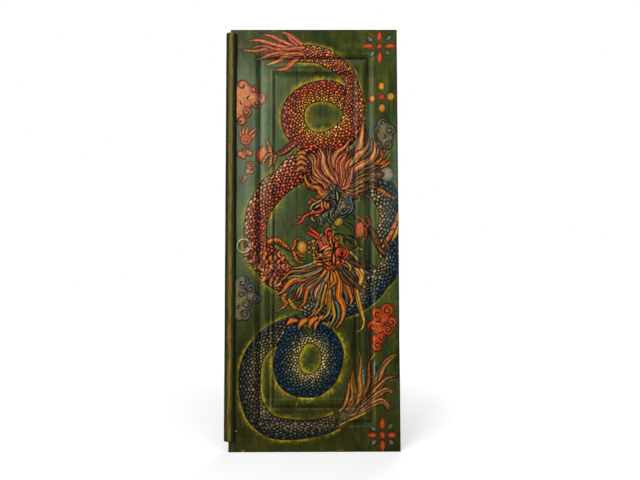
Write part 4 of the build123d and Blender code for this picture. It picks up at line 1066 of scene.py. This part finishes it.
for width, points in (
    (7.5, [(83, 1004), (84, 986), (90, 966), (94, 950), (88, 930), (84, 905), (84, 880), (92, 864),
           (90, 848)]),
    (5.5, [(98, 980), (95, 960), (100, 940), (97, 920), (103, 898), (98, 872), (100, 858)]),
    (5, [(60, 1030), (70, 1024), (80, 1028)]), (4.5, [(72, 1010), (66, 992), (74, 974)]),
    (5, [(20, 904), (30, 897), (45, 903), (60, 896), (76, 903)]),
    (5, [(10, 890), (32, 889), (50, 880), (66, 887), (80, 880)]),
    (5, [(12, 872), (26, 879), (42, 871), (60, 861), (78, 858)]), (4.5, [(28, 866), (44, 860), (62, 848)]),
    (4.5, [(8, 984), (2, 964), (8, 946), (2, 926), (8, 906), (6, 884)]),
    (4.5, [(104, 966), (118, 962), (130, 958)]), (4.5, [(110, 908), (124, 898), (144, 898)]),
    (4, [(118, 948), (134, 950), (150, 938)]), (4, [(112, 918), (120, 908), (136, 906)]),
    (4, [(104, 886), (118, 890), (134, 884)]), (4, [(72, 896), (76, 884), (70, 872)]),
    (4, [(106, 1000), (114, 992), (108, 984), (100, 988)]),
    (4, [(105, 938), (116, 949), (134, 951), (147, 943), (153, 925), (145, 907), (132, 896)]),
    (3.5, [(116, 928), (122, 941), (136, 941), (144, 928)]),
    (4, [(113, 914), (122, 903), (136, 902), (144, 912)]),
    (4, [(96, 952), (106, 948), (112, 956), (124, 958)]), (4, [(34, 862), (48, 868), (60, 866)]),
    (4, [(92, 858), (104, 868), (100, 880), (112, 888)]), (4, [(120, 876), (128, 884), (124, 894)]),
    (4, [(60, 1008), (68, 1000), (64, 988)]), (4, [(90, 1000), (96, 990), (106, 976), (116, 978)]),
    (4, [(22, 898), (34, 892), (46, 896)]),
):
    draw(points, width * 1.4, depth=1.6)
for x, z in ((-25, 974), (-27, 950), (-25, 926)):
    dot(x, z, 8, PEACH, rise=2.5, line=4)
    curl(x, z, 8, 60, 0.6, 3.5)

# The three flowers down the right side: red drops and slate ovals round a red
# disc at the top and the foot, and four plain beads round one in between.
GOLD = [(232, 170, 46), (208, 140, 30), (146, 92, 22)]


def drop(x, z, angle, base, tip, half, colours):
    """A petal along angle, in degrees from straight up: round at base and pointed at tip."""
    ex, ez = math.sin(math.radians(angle)), math.cos(math.radians(angle))
    shape = ((0.0, 0.55), (0.22, 0.95), (0.42, 1.0), (0.7, 0.55), (1.0, 0.04))
    rows = [(x + ex * (base + (tip - base) * t), z + ez * (base + (tip - base) * t), half * w) for t,
            w in shape]
    lay(band(rows), colours, rise=3.8)


for x, z, heart, crosses, diagonals in (
    (317, 1918, 1.0, ((0, 34, 74), (90, 36, 76), (180, 36, 84), (270, 38, 82)),
     ((48, 52, 78), (130, 42, 66), (225, 40, 68), (308, 46, 78))),
     (316, 75, 1.3, ((0, 36, 80), (90, 32, 64), (180, 32, 74), (270, 34, 70)),
      ((42, 46, 70), (128, 44, 66), (232, 42, 68), (306, 42, 68))),
):
    for angle, base, tip in diagonals:
        drop(x, z, angle, base, tip, 12, SLATE)
        ex, ez = math.sin(math.radians(angle)), math.cos(math.radians(angle))
        dot(x + ex * (base + 9), z + ez * (base + 9), 4, BEIGE, rise=0.5, level=3, line=0)
    for angle, base, tip in crosses:
        drop(x, z, angle, base, tip, 14.5, RED)
    dot(x, z, 14.5, RED, stretch=heart, rise=4)
for x, z, radius, stretch, colours in (
    (325, 1723, 15, 1.35, GOLD), (279, 1663, 17, 1.1, PEACH), (369, 1672, 17, 1.15, GOLD),
    (326, 1617, 15, 1.4, GOLD),
):
    dot(x, z, radius, colours, stretch=stretch, rise=3.8)
dot(326, 1670, 17, RED, rise=4)

# Age and painted light: open seams between the boards, painted shade in the
# mouldings' hollows, painted shade and highlights on their slopes, crests both
# rubbed and painted lit, a painted sheen of window light on the varnish, and
# chips down to the wood.
JOINT_X = HALF_WIDTH - JOINT


def shade(where, amount):
    """Paints shade, darker, where amount is below zero, and else a painted highlight, paler."""
    if amount < 0:
        paint[:] *= (1 + amount * np.clip(where, 0, 1))[..., None]
    else:
        share = (amount * np.clip(where, 0, 1))[..., None]
        paint[:] = paint * (1 + 1.5 * share) + (np.array(linear(150, 152, 110)) - paint) * 0.25 * share


edge_distance = np.minimum(HALF_WIDTH - np.abs(X), np.minimum(Z, LEAF_HEIGHT - Z))
for seam, inset in ((PLANK_SEAMS[0], FOOT), (PLANK_SEAMS[1], FOOT), (-JOINT_X, 0), (JOINT_X, 0)):
    near = np.exp(-((X - seam) / 1.6) ** 2) * (Z >= inset) * (Z <= LEAF_HEIGHT - inset)
    relief -= 0.5 * near
    paint *= (1 - near * (0.3 + 0.4 * noise(30, 50)))[..., None]
# Painted shade in the mouldings' hollows and at their steps, where less light falls
for line_at, half, amount in ((137, 6, 0.5), (206, 5, 0.4), (214, 2.5, 0.45), (CREST + 14, 5, 0.2)):
    hollow_shade = np.exp(-((edge_distance - line_at) / half) ** 2) * amount * (0.5 + noise(20, 60))
    paint *= (1 - np.clip(hollow_shade, 0, 0.8))[..., None]
# Painted shade and highlights down the side mouldings, as light from the left falls on their slopes; they
# lie over the carving too.
beside = HALF_WIDTH - np.abs(X) <= np.minimum(Z, LEAF_HEIGHT - Z) + 2
upright, lying = noise(8, 150), noise(150, 8)
for at, half, amount in (
    (-273, 9, -0.55), (-243, 9, 0.3), (-205, 3, 0.3), (-194, 5, -0.5), (-184, 3, 0.3), (188, 3, -0.5),
    (202, 2.5, 0.3), (224, 7, 0.3), (248, 9, -0.5), (280, 4, 0.5),
):
    shade(np.exp(-np.abs((X - at) / half) ** 3) * beside * (0.5 + 0.8 * upright), amount)
# Painted shade and highlights across the top and bottom mouldings, lit from above
for at, half, amount in ((1859, 4, -0.6), (1830, 8, 0.22), (1782, 11, -0.4), (138, 3, -0.6), (204, 5, -0.5),
                         (238, 5, 0.2)):
    crosswise = (np.abs(X) < JOINT_X) * (~beside | (at == 238))
    shade(np.exp(-np.abs((Z - at) / half) ** 3) * crosswise * (0.5 + 0.8 * lying), amount)
# Painted sheen: the window's reflection in the varnish, pale blue-grey patches, most on the left
for x, z, wide, tall, amount in (
    (-232, 1620, 22, 200, 0.42), (-318, 1250, 22, 110, 0.36), (-222, 1250, 12, 160, 0.2),
    (-340, 1000, 30, 200, 0.2), (352, 1140, 40, 110, 0.16), (268, 1480, 14, 220, 0.2),
    (386, 1330, 12, 150, 0.2),
):
    sheen = np.exp(-((X - x) / wide) ** 2 - ((Z - z) / tall) ** 2) * (0.4 + 0.9 * mottle_small) * amount
    paint[:] = toward(paint, (138, 158, 152), np.clip(sheen, 0, 0.8))
# Paler crests: paint rubbed thin, and a painted highlight where the crests catch the light
for line_at, half in ((ROUNDING, 3.5), (CREST - 2, 4), (SHOULDER - 2, 3)):
    crest = np.exp(-((edge_distance - line_at) / half) ** 2)
    rubbed_and_lit = crest * np.clip(noise(14, 46) * 1.5 - 0.45, 0, 1)
    paint[:] = toward(paint, (150, 142, 92), 0.34 * rubbed_and_lit)

# Chips down to the bare wood, and one dark spot on the top edge that is painted shade standing in for a
# notch, which is not cut.
for x, z, wide, tall, bared_wood_and_notch_shade in (
    (-366, 96, 7, 5, (176, 160, 120)), (-83, 215, 3, 14, (150, 138, 104)),
    (72, 1762, 3, 12, (160, 150, 120)), (-333, 5, 10, 7, (170, 150, 110)), (381, 724, 6, 16, (104, 80, 46)),
    (384, 505, 6, 14, (104, 80, 46)), (-382, 1612, 5, 22, (150, 140, 96)), (272, 1996, 18, 5, (40, 36, 26)),
    (-190, 1994, 16, 4, (150, 136, 96)), (120, 6, 22, 5, (140, 124, 84)), (330, 230, 5, 9, (130, 116, 74)),
    (214, 1180, 4, 16, (160, 152, 120)),
):
    spot = 1.5 - np.hypot((X - x) / wide, (Z - z) / tall) - 1.3 * mottle_fine
    chip_and_notch_cover = np.clip(spot * 3, 0, 1)
    paint[:] = toward(paint, bared_wood_and_notch_shade, 0.8 * chip_and_notch_cover)
    relief -= 0.5 * chip_and_notch_cover

# The paint darker along the leaf's outer edges, about 5 mm in
paint *= (1 - 0.62 * np.exp(-((edge_distance / 5.5) ** 2)))[..., None]

# Yellowed varnish over all of the painting, a little thicker in some places, as
# it was brushed on by hand and has darkened with age.
varnish = np.array([0.70, 0.64, 0.46]) * (0.9 + 0.2 * noise(120, 160))[..., None]
paint *= varnish

# The boards of the leaf, each a closed mesh of its carved front, edges and back:
# two stiles and two rails joined by wedged through tenons, four mitred mouldings,
# and three planks that run on under the mouldings into the frame's groove.
FACE_Y, FIELD_Y = -20.0, -7.0
BACK_Y, PLANK_BACK_Y = 20.0, 10.0
# A plank's carved layer ends at the first depth, and its plain body starts at the second
LAYER_Y, BODY_FRONT_Y = -3, -4
TENON_LOW, TENON_HIGH, TENON_HALF = 28, 128, 7
SLACK, POCKET = 0.2, 8
WEDGE_LONG, WEDGE_HALF, WEDGE_TIP_HALF = 60, 3, 0.5
SNAP = 0.01


def profile(offset):
    """Depth of the uncarved front behind the leaf's face, by distance in from the leaf's edges."""
    at = [0, ROUNDING, 122, 128, 134, JOINT, 147, 154, 161, CREST, SHOULDER, 200, 205, 210, FOOT,
          FOOT + SNAP]
    depth = [0, 0, 0.7, 2.3, 4.7, 8, 5.6, 4.1, 3.3, 3, 6, 7.6, 9.6, 10.9, 11.5, 13]
    return np.interp(offset, at, depth)


def prism(outline, y0, y1):
    """Points and faces of an outline of (x, z) drawn out from y0 to y1."""
    count = len(outline)
    points = [(x, y, z) for y in (y0, y1) for x, z in outline]
    sides = [(k, (k + 1) % count, (k + 1) % count + count, k + count) for k in range(count)]
    return points, sides + [tuple(range(count))[::-1], tuple(range(count, 2 * count))]


def mortised(run, ends, x, free):
    """A stile's outer side as faces and new points, with openings for the two rails' tenons.

    run are the front's vertices along it, ends the two back corners, free the next free number.
    """
    in_x = x - math.copysign(POCKET, x)
    gap = TENON_HALF + SLACK
    stops = (0, TENON_LOW - SLACK, TENON_HIGH + SLACK)
    stops += tuple(LEAF_HEIGHT - z for z in stops[::-1])
    if run[0][1] > run[-1][1]:
        stops = stops[::-1]
    numbers = [v for v, z in run]
    points = [(x, -gap, z) for z in stops] + [(x, gap, z) for z in stops]
    near = [free + k for k in range(6)]
    far = [free + 6 + k for k in range(6)]
    faces = [numbers[::-1] + near, far[::-1] + list(ends)]
    faces += [(near[k + 1], near[k], far[k], far[k + 1]) for k in (0, 2, 4)]
    for k in (1, 3):
        rim = [near[k + 1], near[k], far[k], far[k + 1]]
        bottom = [free + len(points) + n for n in range(4)]
        low, high = stops[k], stops[k + 1]
        points += [(in_x, y, z) for y, z in ((-gap, high), (-gap, low), (gap, low), (gap, high))]
        faces += [(rim[n], rim[(n + 1) % 4], bottom[(n + 1) % 4], bottom[n]) for n in range(4)]
        faces.append(tuple(bottom))
    return points, faces


def sheet(tall, wide):
    """The numbers of a grid's points, row by row, and its faces."""
    index = np.arange(wide * tall).reshape(tall, wide)
    cells = np.stack([index[:-1, :-1], index[:-1, 1:], index[1:, 1:], index[1:, :-1]], -1)
    return index, cells.reshape(-1, 4)


def border(faces):
    """The border of an open sheet of faces, as its points walked round in order."""
    edges = {(a, b) for face in faces for a, b in zip(face, face[1:] + face[:1])}
    after = {a: b for a, b in edges if (b, a) not in edges}
    walk = [min(after)]
    while after[walk[-1]] != walk[0]:
        walk.append(after[walk[-1]])
    return walk


def painted_object(name, node, points, front, others, colours):
    """An object of points in mm and their colours, with smooth front faces and flat others."""
    mesh = bpy.data.meshes.new(node)
    mesh.from_pydata((points / 1000).tolist(), [], front + others)
    mesh.polygons.foreach_set("use_smooth", [True] * len(front) + [False] * len(others))
    layer = mesh.color_attributes.new("paint", "FLOAT_COLOR", "POINT")
    layer.data.foreach_set("color", np.column_stack([colours, np.ones(len(points))]).ravel())
    mesh.update()
    made = bpy.data.objects.new(name, mesh)
    scene.collection.objects.link(made)
    return made


def board(name, limits, back, mitre=None, added=()):
    """A board from its part of the grid; limits are x0, x1, z0, z1 in mm.

    added are closed prisms that belong to the board and have no carving.
    """
    x0, x1, z0, z1 = limits
    columns = slice(np.searchsorted(xs, x0 - SNAP), np.searchsorted(xs, x1 - SNAP) + 1)
    rows = slice(np.searchsorted(zs, z0 - SNAP), np.searchsorted(zs, z1 - SNAP) + 1)
    gx, gz = X[rows, columns], Z[rows, columns]
    offset = edge_distance[rows, columns]
    if mitre:
        offset = np.minimum(offset, FOOT)
    y = FACE_Y + profile(offset) - relief[rows, columns]
    _, cells = sheet(*gx.shape)
    faces = cells.tolist()
    used = np.arange(gx.size)
    if mitre:
        own = HALF_WIDTH - np.abs(gx.ravel())
        other = np.minimum(gz.ravel(), LEAF_HEIGHT - gz.ravel())
        if mitre == "rail":
            own, other = other, own
        mine = (own <= other + SNAP)[cells]
        faces = [[v for v, m in zip(cell, row) if m] for cell, row in zip(faces, mine) if row.sum() >= 3]
        used = np.unique(np.concatenate(faces))
    renumber = np.full(gx.size, -1)
    renumber[used] = np.arange(len(used))
    faces = [renumber[face].tolist() for face in faces]
    points = np.column_stack([gx.ravel(), y.ravel(), gz.ravel()])[used]
    # The border of the front, walked round, gives the edges of the board and its back
    loop = border(faces)
    around = points[loop][:, [0, 2]]
    heading = np.roll(around, -1, 0) - around
    heading /= np.hypot(*heading.T)[:, None]
    corners = [k for k in range(len(loop)) if abs(heading[k - 1] @ heading[k] - 1) > 1e-4]
    first = len(points)
    others = [(around[k][0], back, around[k][1]) for k in corners]
    sides = []
    for n, k in enumerate(corners):
        end = corners[(n + 1) % len(corners)]
        run = loop[k:end + 1] if end > k else loop[k:] + loop[:end + 1]
        two_ends = [first + n, first + (n + 1) % len(corners)]
        if name.endswith("stile") and all(abs(points[v][0]) > HALF_WIDTH - SNAP for v in run):
            heights = [(v, points[v][2]) for v in run]
            new_points, new_faces = mortised(heights, two_ends, points[run[0]][0], first + len(others))
            others += new_points
            sides += new_faces
        else:
            sides.append(run[::-1] + two_ends)
    sides.append([first + n for n in range(len(corners))][::-1])
    for block_points, block_faces in added:
        free = first + len(others)
        others += block_points
        sides += [[free + v for v in face] for face in block_faces]
    bare = np.tile(linear(60, 44, 26), (len(others), 1))
    colours = np.vstack([paint[rows, columns].reshape(-1, 3)[used], bare])
    piece = painted_object(name + "_carved", name, np.vstack([points, others]), faces, sides, colours)
    piece.data.polygons.foreach_set("material_index", [0] * len(faces) + [1] * len(sides))
    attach(piece, "leaf")
    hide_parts(name)
    return piece


def material(name):
    """A new material, its graph and its Principled shader."""
    made = bpy.data.materials.new(name)
    made.use_nodes = True
    graph = Graph(made.node_tree)
    return made, graph, made.node_tree.nodes["Principled BSDF"]


def feed(graph, shader, **links):
    """Links or sets the named inputs of a Principled shader; underscores stand for spaces."""
    for key, value in links.items():
        socket = shader.inputs[key.replace("_", " ")]
        if isinstance(value, Socket):
            graph.tree.links.new(value.output, socket)
        else:
            socket.default_value = value


def painted(name, gloss):
    """Old oil paint under a thin varnish: brush marks, fine grime and dull scuffed places."""
    made, g, shader = material(name)
    colour = g.node("ShaderNodeVertexColor", {"layer_name": "paint"})
    place = g.node("ShaderNodeTexCoord", out="Object")
    upwards = {"Vector": place, "Scale": (1.0, 1.0, 0.22)}
    brush = g.noise(g.node("ShaderNodeMapping", {"vector_type": "POINT"}, upwards), 900.0, 3.0, 0.6)
    grime = g.noise(place, 60.0, 6.0, 0.65)
    peel = g.noise(place, 190.0, 2.0)
    tone = {"Vector": colour, "Scale": 0.86 + brush * 0.28}
    toned = g.node("ShaderNodeVectorMath", {"operation": "SCALE"}, tone)
    dusty = g.mix(grime.ramp(0.55, 0.8) * 0.02, toned, rgba(116, 112, 92))
    rough = gloss + grime.ramp(0.3, 0.75) * 0.14
    bump = g.bump(brush * 0.6 + grime * 0.4 + peel * 1.6, 0.45, 0.0010)
    feed(g, shader, Base_Color=dusty, Roughness=rough, Normal=bump, Specular_IOR_Level=0.09)
    return made


def wood(name, pale, dark, along="z", seams=()):
    """Bare, darkened wood with its grain along x or z, and grime in the seams at these x, in mm."""
    made, g, shader = material(name)
    place = g.node("ShaderNodeTexCoord", out="Object")
    stretched = {"Vector": place, "Scale": (0.06, 1, 1) if along == "x" else (1, 1, 0.06)}
    grain = g.noise(g.node("ShaderNodeMapping", {"vector_type": "POINT"}, stretched), 90.0, 8.0, 0.6)
    blots = g.noise(place, 7.0, 3.0)
    colour = g.mix(grain.ramp(0.35, 0.65), rgba(*dark), rgba(*pale))
    colour = g.mix(blots.ramp(0.5, 0.75) * 0.5, colour, rgba(*dark))
    x = g.node("ShaderNodeSeparateXYZ", None, {"Vector": place}, out="X")
    for seam in seams:
        away = x.maths("ABSOLUTE", x - seam / 1000)
        colour = g.mix(1 - away.ramp(0.0006, 0.003), colour, rgba(22, 16, 11))
    feed(g, shader, Base_Color=colour, Roughness=0.75, Normal=g.bump(grain, 0.4, 0.001))
    return made


frame_paint = painted("frame_paint", 0.2)
moulding_paint = painted("moulding_paint", 0.18)
field_paint = painted("field_paint", 0.2)
joints = (-JOINT_X, JOINT_X)
back_wood = {
    "stile": wood("stile_wood", (112, 84, 54), (66, 48, 30), seams=joints),
    "rail": wood("rail_wood", (104, 78, 50), (60, 43, 27), along="x", seams=joints),
    "plank": wood("plank_wood", (122, 94, 62), (76, 56, 36), seams=PLANK_SEAMS),
    "moulding": wood("moulding_wood", (112, 84, 54), (66, 48, 30)),
}


def tenons(top):
    """The two through tenons of a rail, notched for their wedges."""
    made = []
    tall = TENON_HIGH - TENON_LOW
    notch = HALF_WIDTH - WEDGE_LONG
    for side in (-1, 1):
        outline = [(JOINT_X, TENON_LOW), (HALF_WIDTH, TENON_LOW)]
        for z in (TENON_LOW + tall / 4, TENON_LOW + tall * 3 / 4):
            outline += [(HALF_WIDTH, z - WEDGE_HALF), (notch, z - WEDGE_TIP_HALF)]
            outline += [(notch, z + WEDGE_TIP_HALF), (HALF_WIDTH, z + WEDGE_HALF)]
        outline += [(HALF_WIDTH, TENON_HIGH), (JOINT_X, TENON_HIGH)]
        turned = [(side * x, LEAF_HEIGHT - z if top else z) for x, z in outline]
        made.append(prism(turned, -TENON_HALF, TENON_HALF))
    return made


def plank_body(x0, x1):
    """The plain part of a plank, which runs on under the mouldings to the frame's groove."""
    corners = [(x0, JOINT), (x1, JOINT), (x1, LEAF_HEIGHT - JOINT), (x0, LEAF_HEIGHT - JOINT)]
    return [prism(corners, BODY_FRONT_Y, PLANK_BACK_Y)]


OUT, IN, FIELD = HALF_WIDTH, JOINT_X, HALF_WIDTH - FOOT
TOP, IN_TOP, FIELD_TOP = LEAF_HEIGHT, LEAF_HEIGHT - JOINT, LEAF_HEIGHT - FOOT
LEFT, RIGHT = PLANK_SEAMS
bodies = (plank_body(-IN, LEFT - SLACK), plank_body(LEFT + SLACK, RIGHT - SLACK),
          plank_body(RIGHT + SLACK, IN))
boards = {
    "lock_stile": ((-OUT, -IN, 0, TOP), BACK_Y, None, frame_paint, "frame_paint", ()),
    "hinge_stile": ((IN, OUT, 0, TOP), BACK_Y, None, frame_paint, "frame_paint", ()),
    "bottom_rail": ((-IN, IN, 0, JOINT), BACK_Y, None, frame_paint, "frame_paint", tenons(False)),
    "top_rail": ((-IN, IN, IN_TOP, TOP), BACK_Y, None, frame_paint, "frame_paint", tenons(True)),
    "moulding_left": ((-IN, -FIELD, JOINT, IN_TOP), FIELD_Y, "stile", moulding_paint, "moulding_paint", ()),
    "moulding_right": ((FIELD, IN, JOINT, IN_TOP), FIELD_Y, "stile", moulding_paint, "moulding_paint", ()),
    "moulding_bottom": ((-IN, IN, JOINT, FOOT), FIELD_Y, "rail", moulding_paint, "moulding_paint", ()),
    "moulding_top": ((-IN, IN, FIELD_TOP, IN_TOP), FIELD_Y, "rail", moulding_paint, "moulding_paint", ()),
    "plank_left": ((-FIELD, LEFT, FOOT, FIELD_TOP), LAYER_Y, None, field_paint, "field_paint", bodies[0]),
    "plank_middle": ((LEFT, RIGHT, FOOT, FIELD_TOP), LAYER_Y, None, field_paint, "field_paint", bodies[1]),
    "plank_right": ((RIGHT, FIELD, FOOT, FIELD_TOP), LAYER_Y, None, field_paint, "field_paint", bodies[2]),
}
for name, (limits, back, mitre, front, slot_name, added) in boards.items():
    piece = board(name, limits, back, mitre, added)
    piece.data.materials.append(front)
    piece.data.materials.append(next(back_wood[kind] for kind in back_wood if kind in name))

# The meeting strip: a planed hardwood strip nailed over the leaf's free edge, its
# paint rubbed through to the ochre ground along the crown by hands and years, and
# painted shade down its flanks, deepest on the right.
STRIP_X = -395
STRIP_LOW, STRIP_HIGH = 55, 1977
STRIP_CROWN = 22
# Points of the mesh round the section and along the strip
ROUND, ALONG = 45, 480
half_section = [(8, STRIP_CROWN), (13, 20), (18, 16.5), (22, 12), (25, 7), (25, 0)]
section = np.array([(-x, y) for x, y in half_section[::-1]] + half_section, float)
section_run = np.append(0, np.cumsum(np.hypot(*np.diff(section, axis=0).T)))
stops = np.linspace(0, section_run[-1], ROUND)
section_x, section_y = [np.interp(stops, section_run, section[:, k]) for k in (0, 1)]
strip_z = np.linspace(STRIP_LOW, STRIP_HIGH, ALONG)


def lengthwise(wide, high):
    """Noise over the strip: wide is in points round the section, high in mm along it."""
    return soft_noise(np.arange(ROUND) / wide, (strip_z - STRIP_LOW) / high, ROUND / wide,
                      LEAF_HEIGHT / high)


SX, SZ = np.meshgrid(section_x, strip_z)
SY = np.broadcast_to(section_y, SX.shape)
dents = np.clip(lengthwise(5, 14) - 0.78, 0, 1) * 6 * (SY > 6)
waves = (lengthwise(12, 60) - 0.5) * 1.2
proud = SY / STRIP_CROWN
strip_x = STRIP_X + SX * (1 - 0.02 * dents * proud) + waves * 0.4 * (proud > 0.1)
strip_y = FACE_Y - np.clip(SY - (dents + waves) * (proud > 0.2) * 0.6, 0, STRIP_CROWN + 0.6)
strip_points = np.stack([strip_x, strip_y, SZ], -1).reshape(-1, 3)
crown = np.clip(1.25 - np.abs(SX - 0.5) / 9.5, 0, 1) * 1.6
worn_off = np.clip(crown * (0.35 + 1.0 * lengthwise(4, 55)) + 0.5 * (lengthwise(2.2, 22) - 0.5), 0, 1)
worn_off *= 0.72 + 0.28 * np.clip(1 - SZ / 1400, 0, 1)
strip_colour = mixed([(40, 46, 18), (64, 62, 26), (88, 78, 34), (120, 96, 42)], worn_off)
strip_colour *= (0.62 + 0.7 * lengthwise(1.5, 40))[..., None]
vein = np.exp(-(((SX - 1.6) / 1.5) ** 2)) * np.clip(lengthwise(3, 120) * 1.6 - 0.3, 0, 1)
strip_colour = toward(strip_colour, (120, 66, 26), 0.6 * vein)
# Painted shade down the strip's flanks, a little on the left and deep on the right
strip_colour *= 1 - 0.25 * np.clip((-SX - 10) / 12, 0, 1)[..., None]
strip_colour *= 1 - 0.6 * np.clip((SX - 12) / 8, 0, 1)[..., None]
strip_colour *= varnish.mean((0, 1)) * 1.5
index, cells = sheet(*SX.shape)
caps = [index[0].tolist()[::-1], index[-1].tolist(), index[:, 0].tolist() + index[::-1, -1].tolist()]
strip = painted_object(
    "meeting_strip_worn", "meeting_strip", strip_points, cells.tolist(), caps, strip_colour.reshape(-1, 3)
)
strip.data.materials.append(painted("strip_paint", 0.38))
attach(strip, "leaf")
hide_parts("meeting_strip")

# Battens and wedges: three battens of bare dark wood slid across the planks from
# behind, and wedges of paler oak, driven into the tenons and trimmed flush.


def dress(node, made):
    """Gives a CAD node its material."""
    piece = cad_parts[node]
    piece.data.materials.clear()
    piece.data.materials.append(made)
    piece.data.polygons.foreach_set("material_index", [0] * len(piece.data.polygons))
    return piece


batten_wood = wood("batten_wood", (100, 74, 46), (58, 40, 25), along="x")
for node in ("batten_lower", "batten_middle", "batten_upper"):
    dress(node, batten_wood)
dress("tenon_wedges", wood("wedge_oak", (150, 120, 80), (104, 78, 48)))

# Nails of forged iron along the strip, and the ring and its split eye, both of
# bright steel that hands have kept clean.


def metal(name, bright, dull, roughness, scale):
    """Bare metal, darker and rougher where it has tarnished."""
    made, g, shader = material(name)
    spots = g.noise(g.node("ShaderNodeTexCoord", out="Object"), scale, 6.0, 0.7)
    tarnish = spots.ramp(0.45, 0.7)
    colour = g.mix(tarnish, rgba(*bright), rgba(*dull))
    metallic, rough = 0.95 - tarnish * 0.35, roughness + tarnish * 0.3
    feed(g, shader, Base_Color=colour, Metallic=metallic, Roughness=rough, Normal=g.bump(spots, 0.3, 0.0006))
    return made


dress("strip_nails", metal("nail_iron", (84, 76, 66), (46, 34, 26), 0.45, 400.0))
ring_metal = metal("ring_metal", (186, 174, 154), (116, 104, 84), 0.3, 160.0)
dress("pull_ring", ring_metal)
dress("pull_eye", ring_metal)
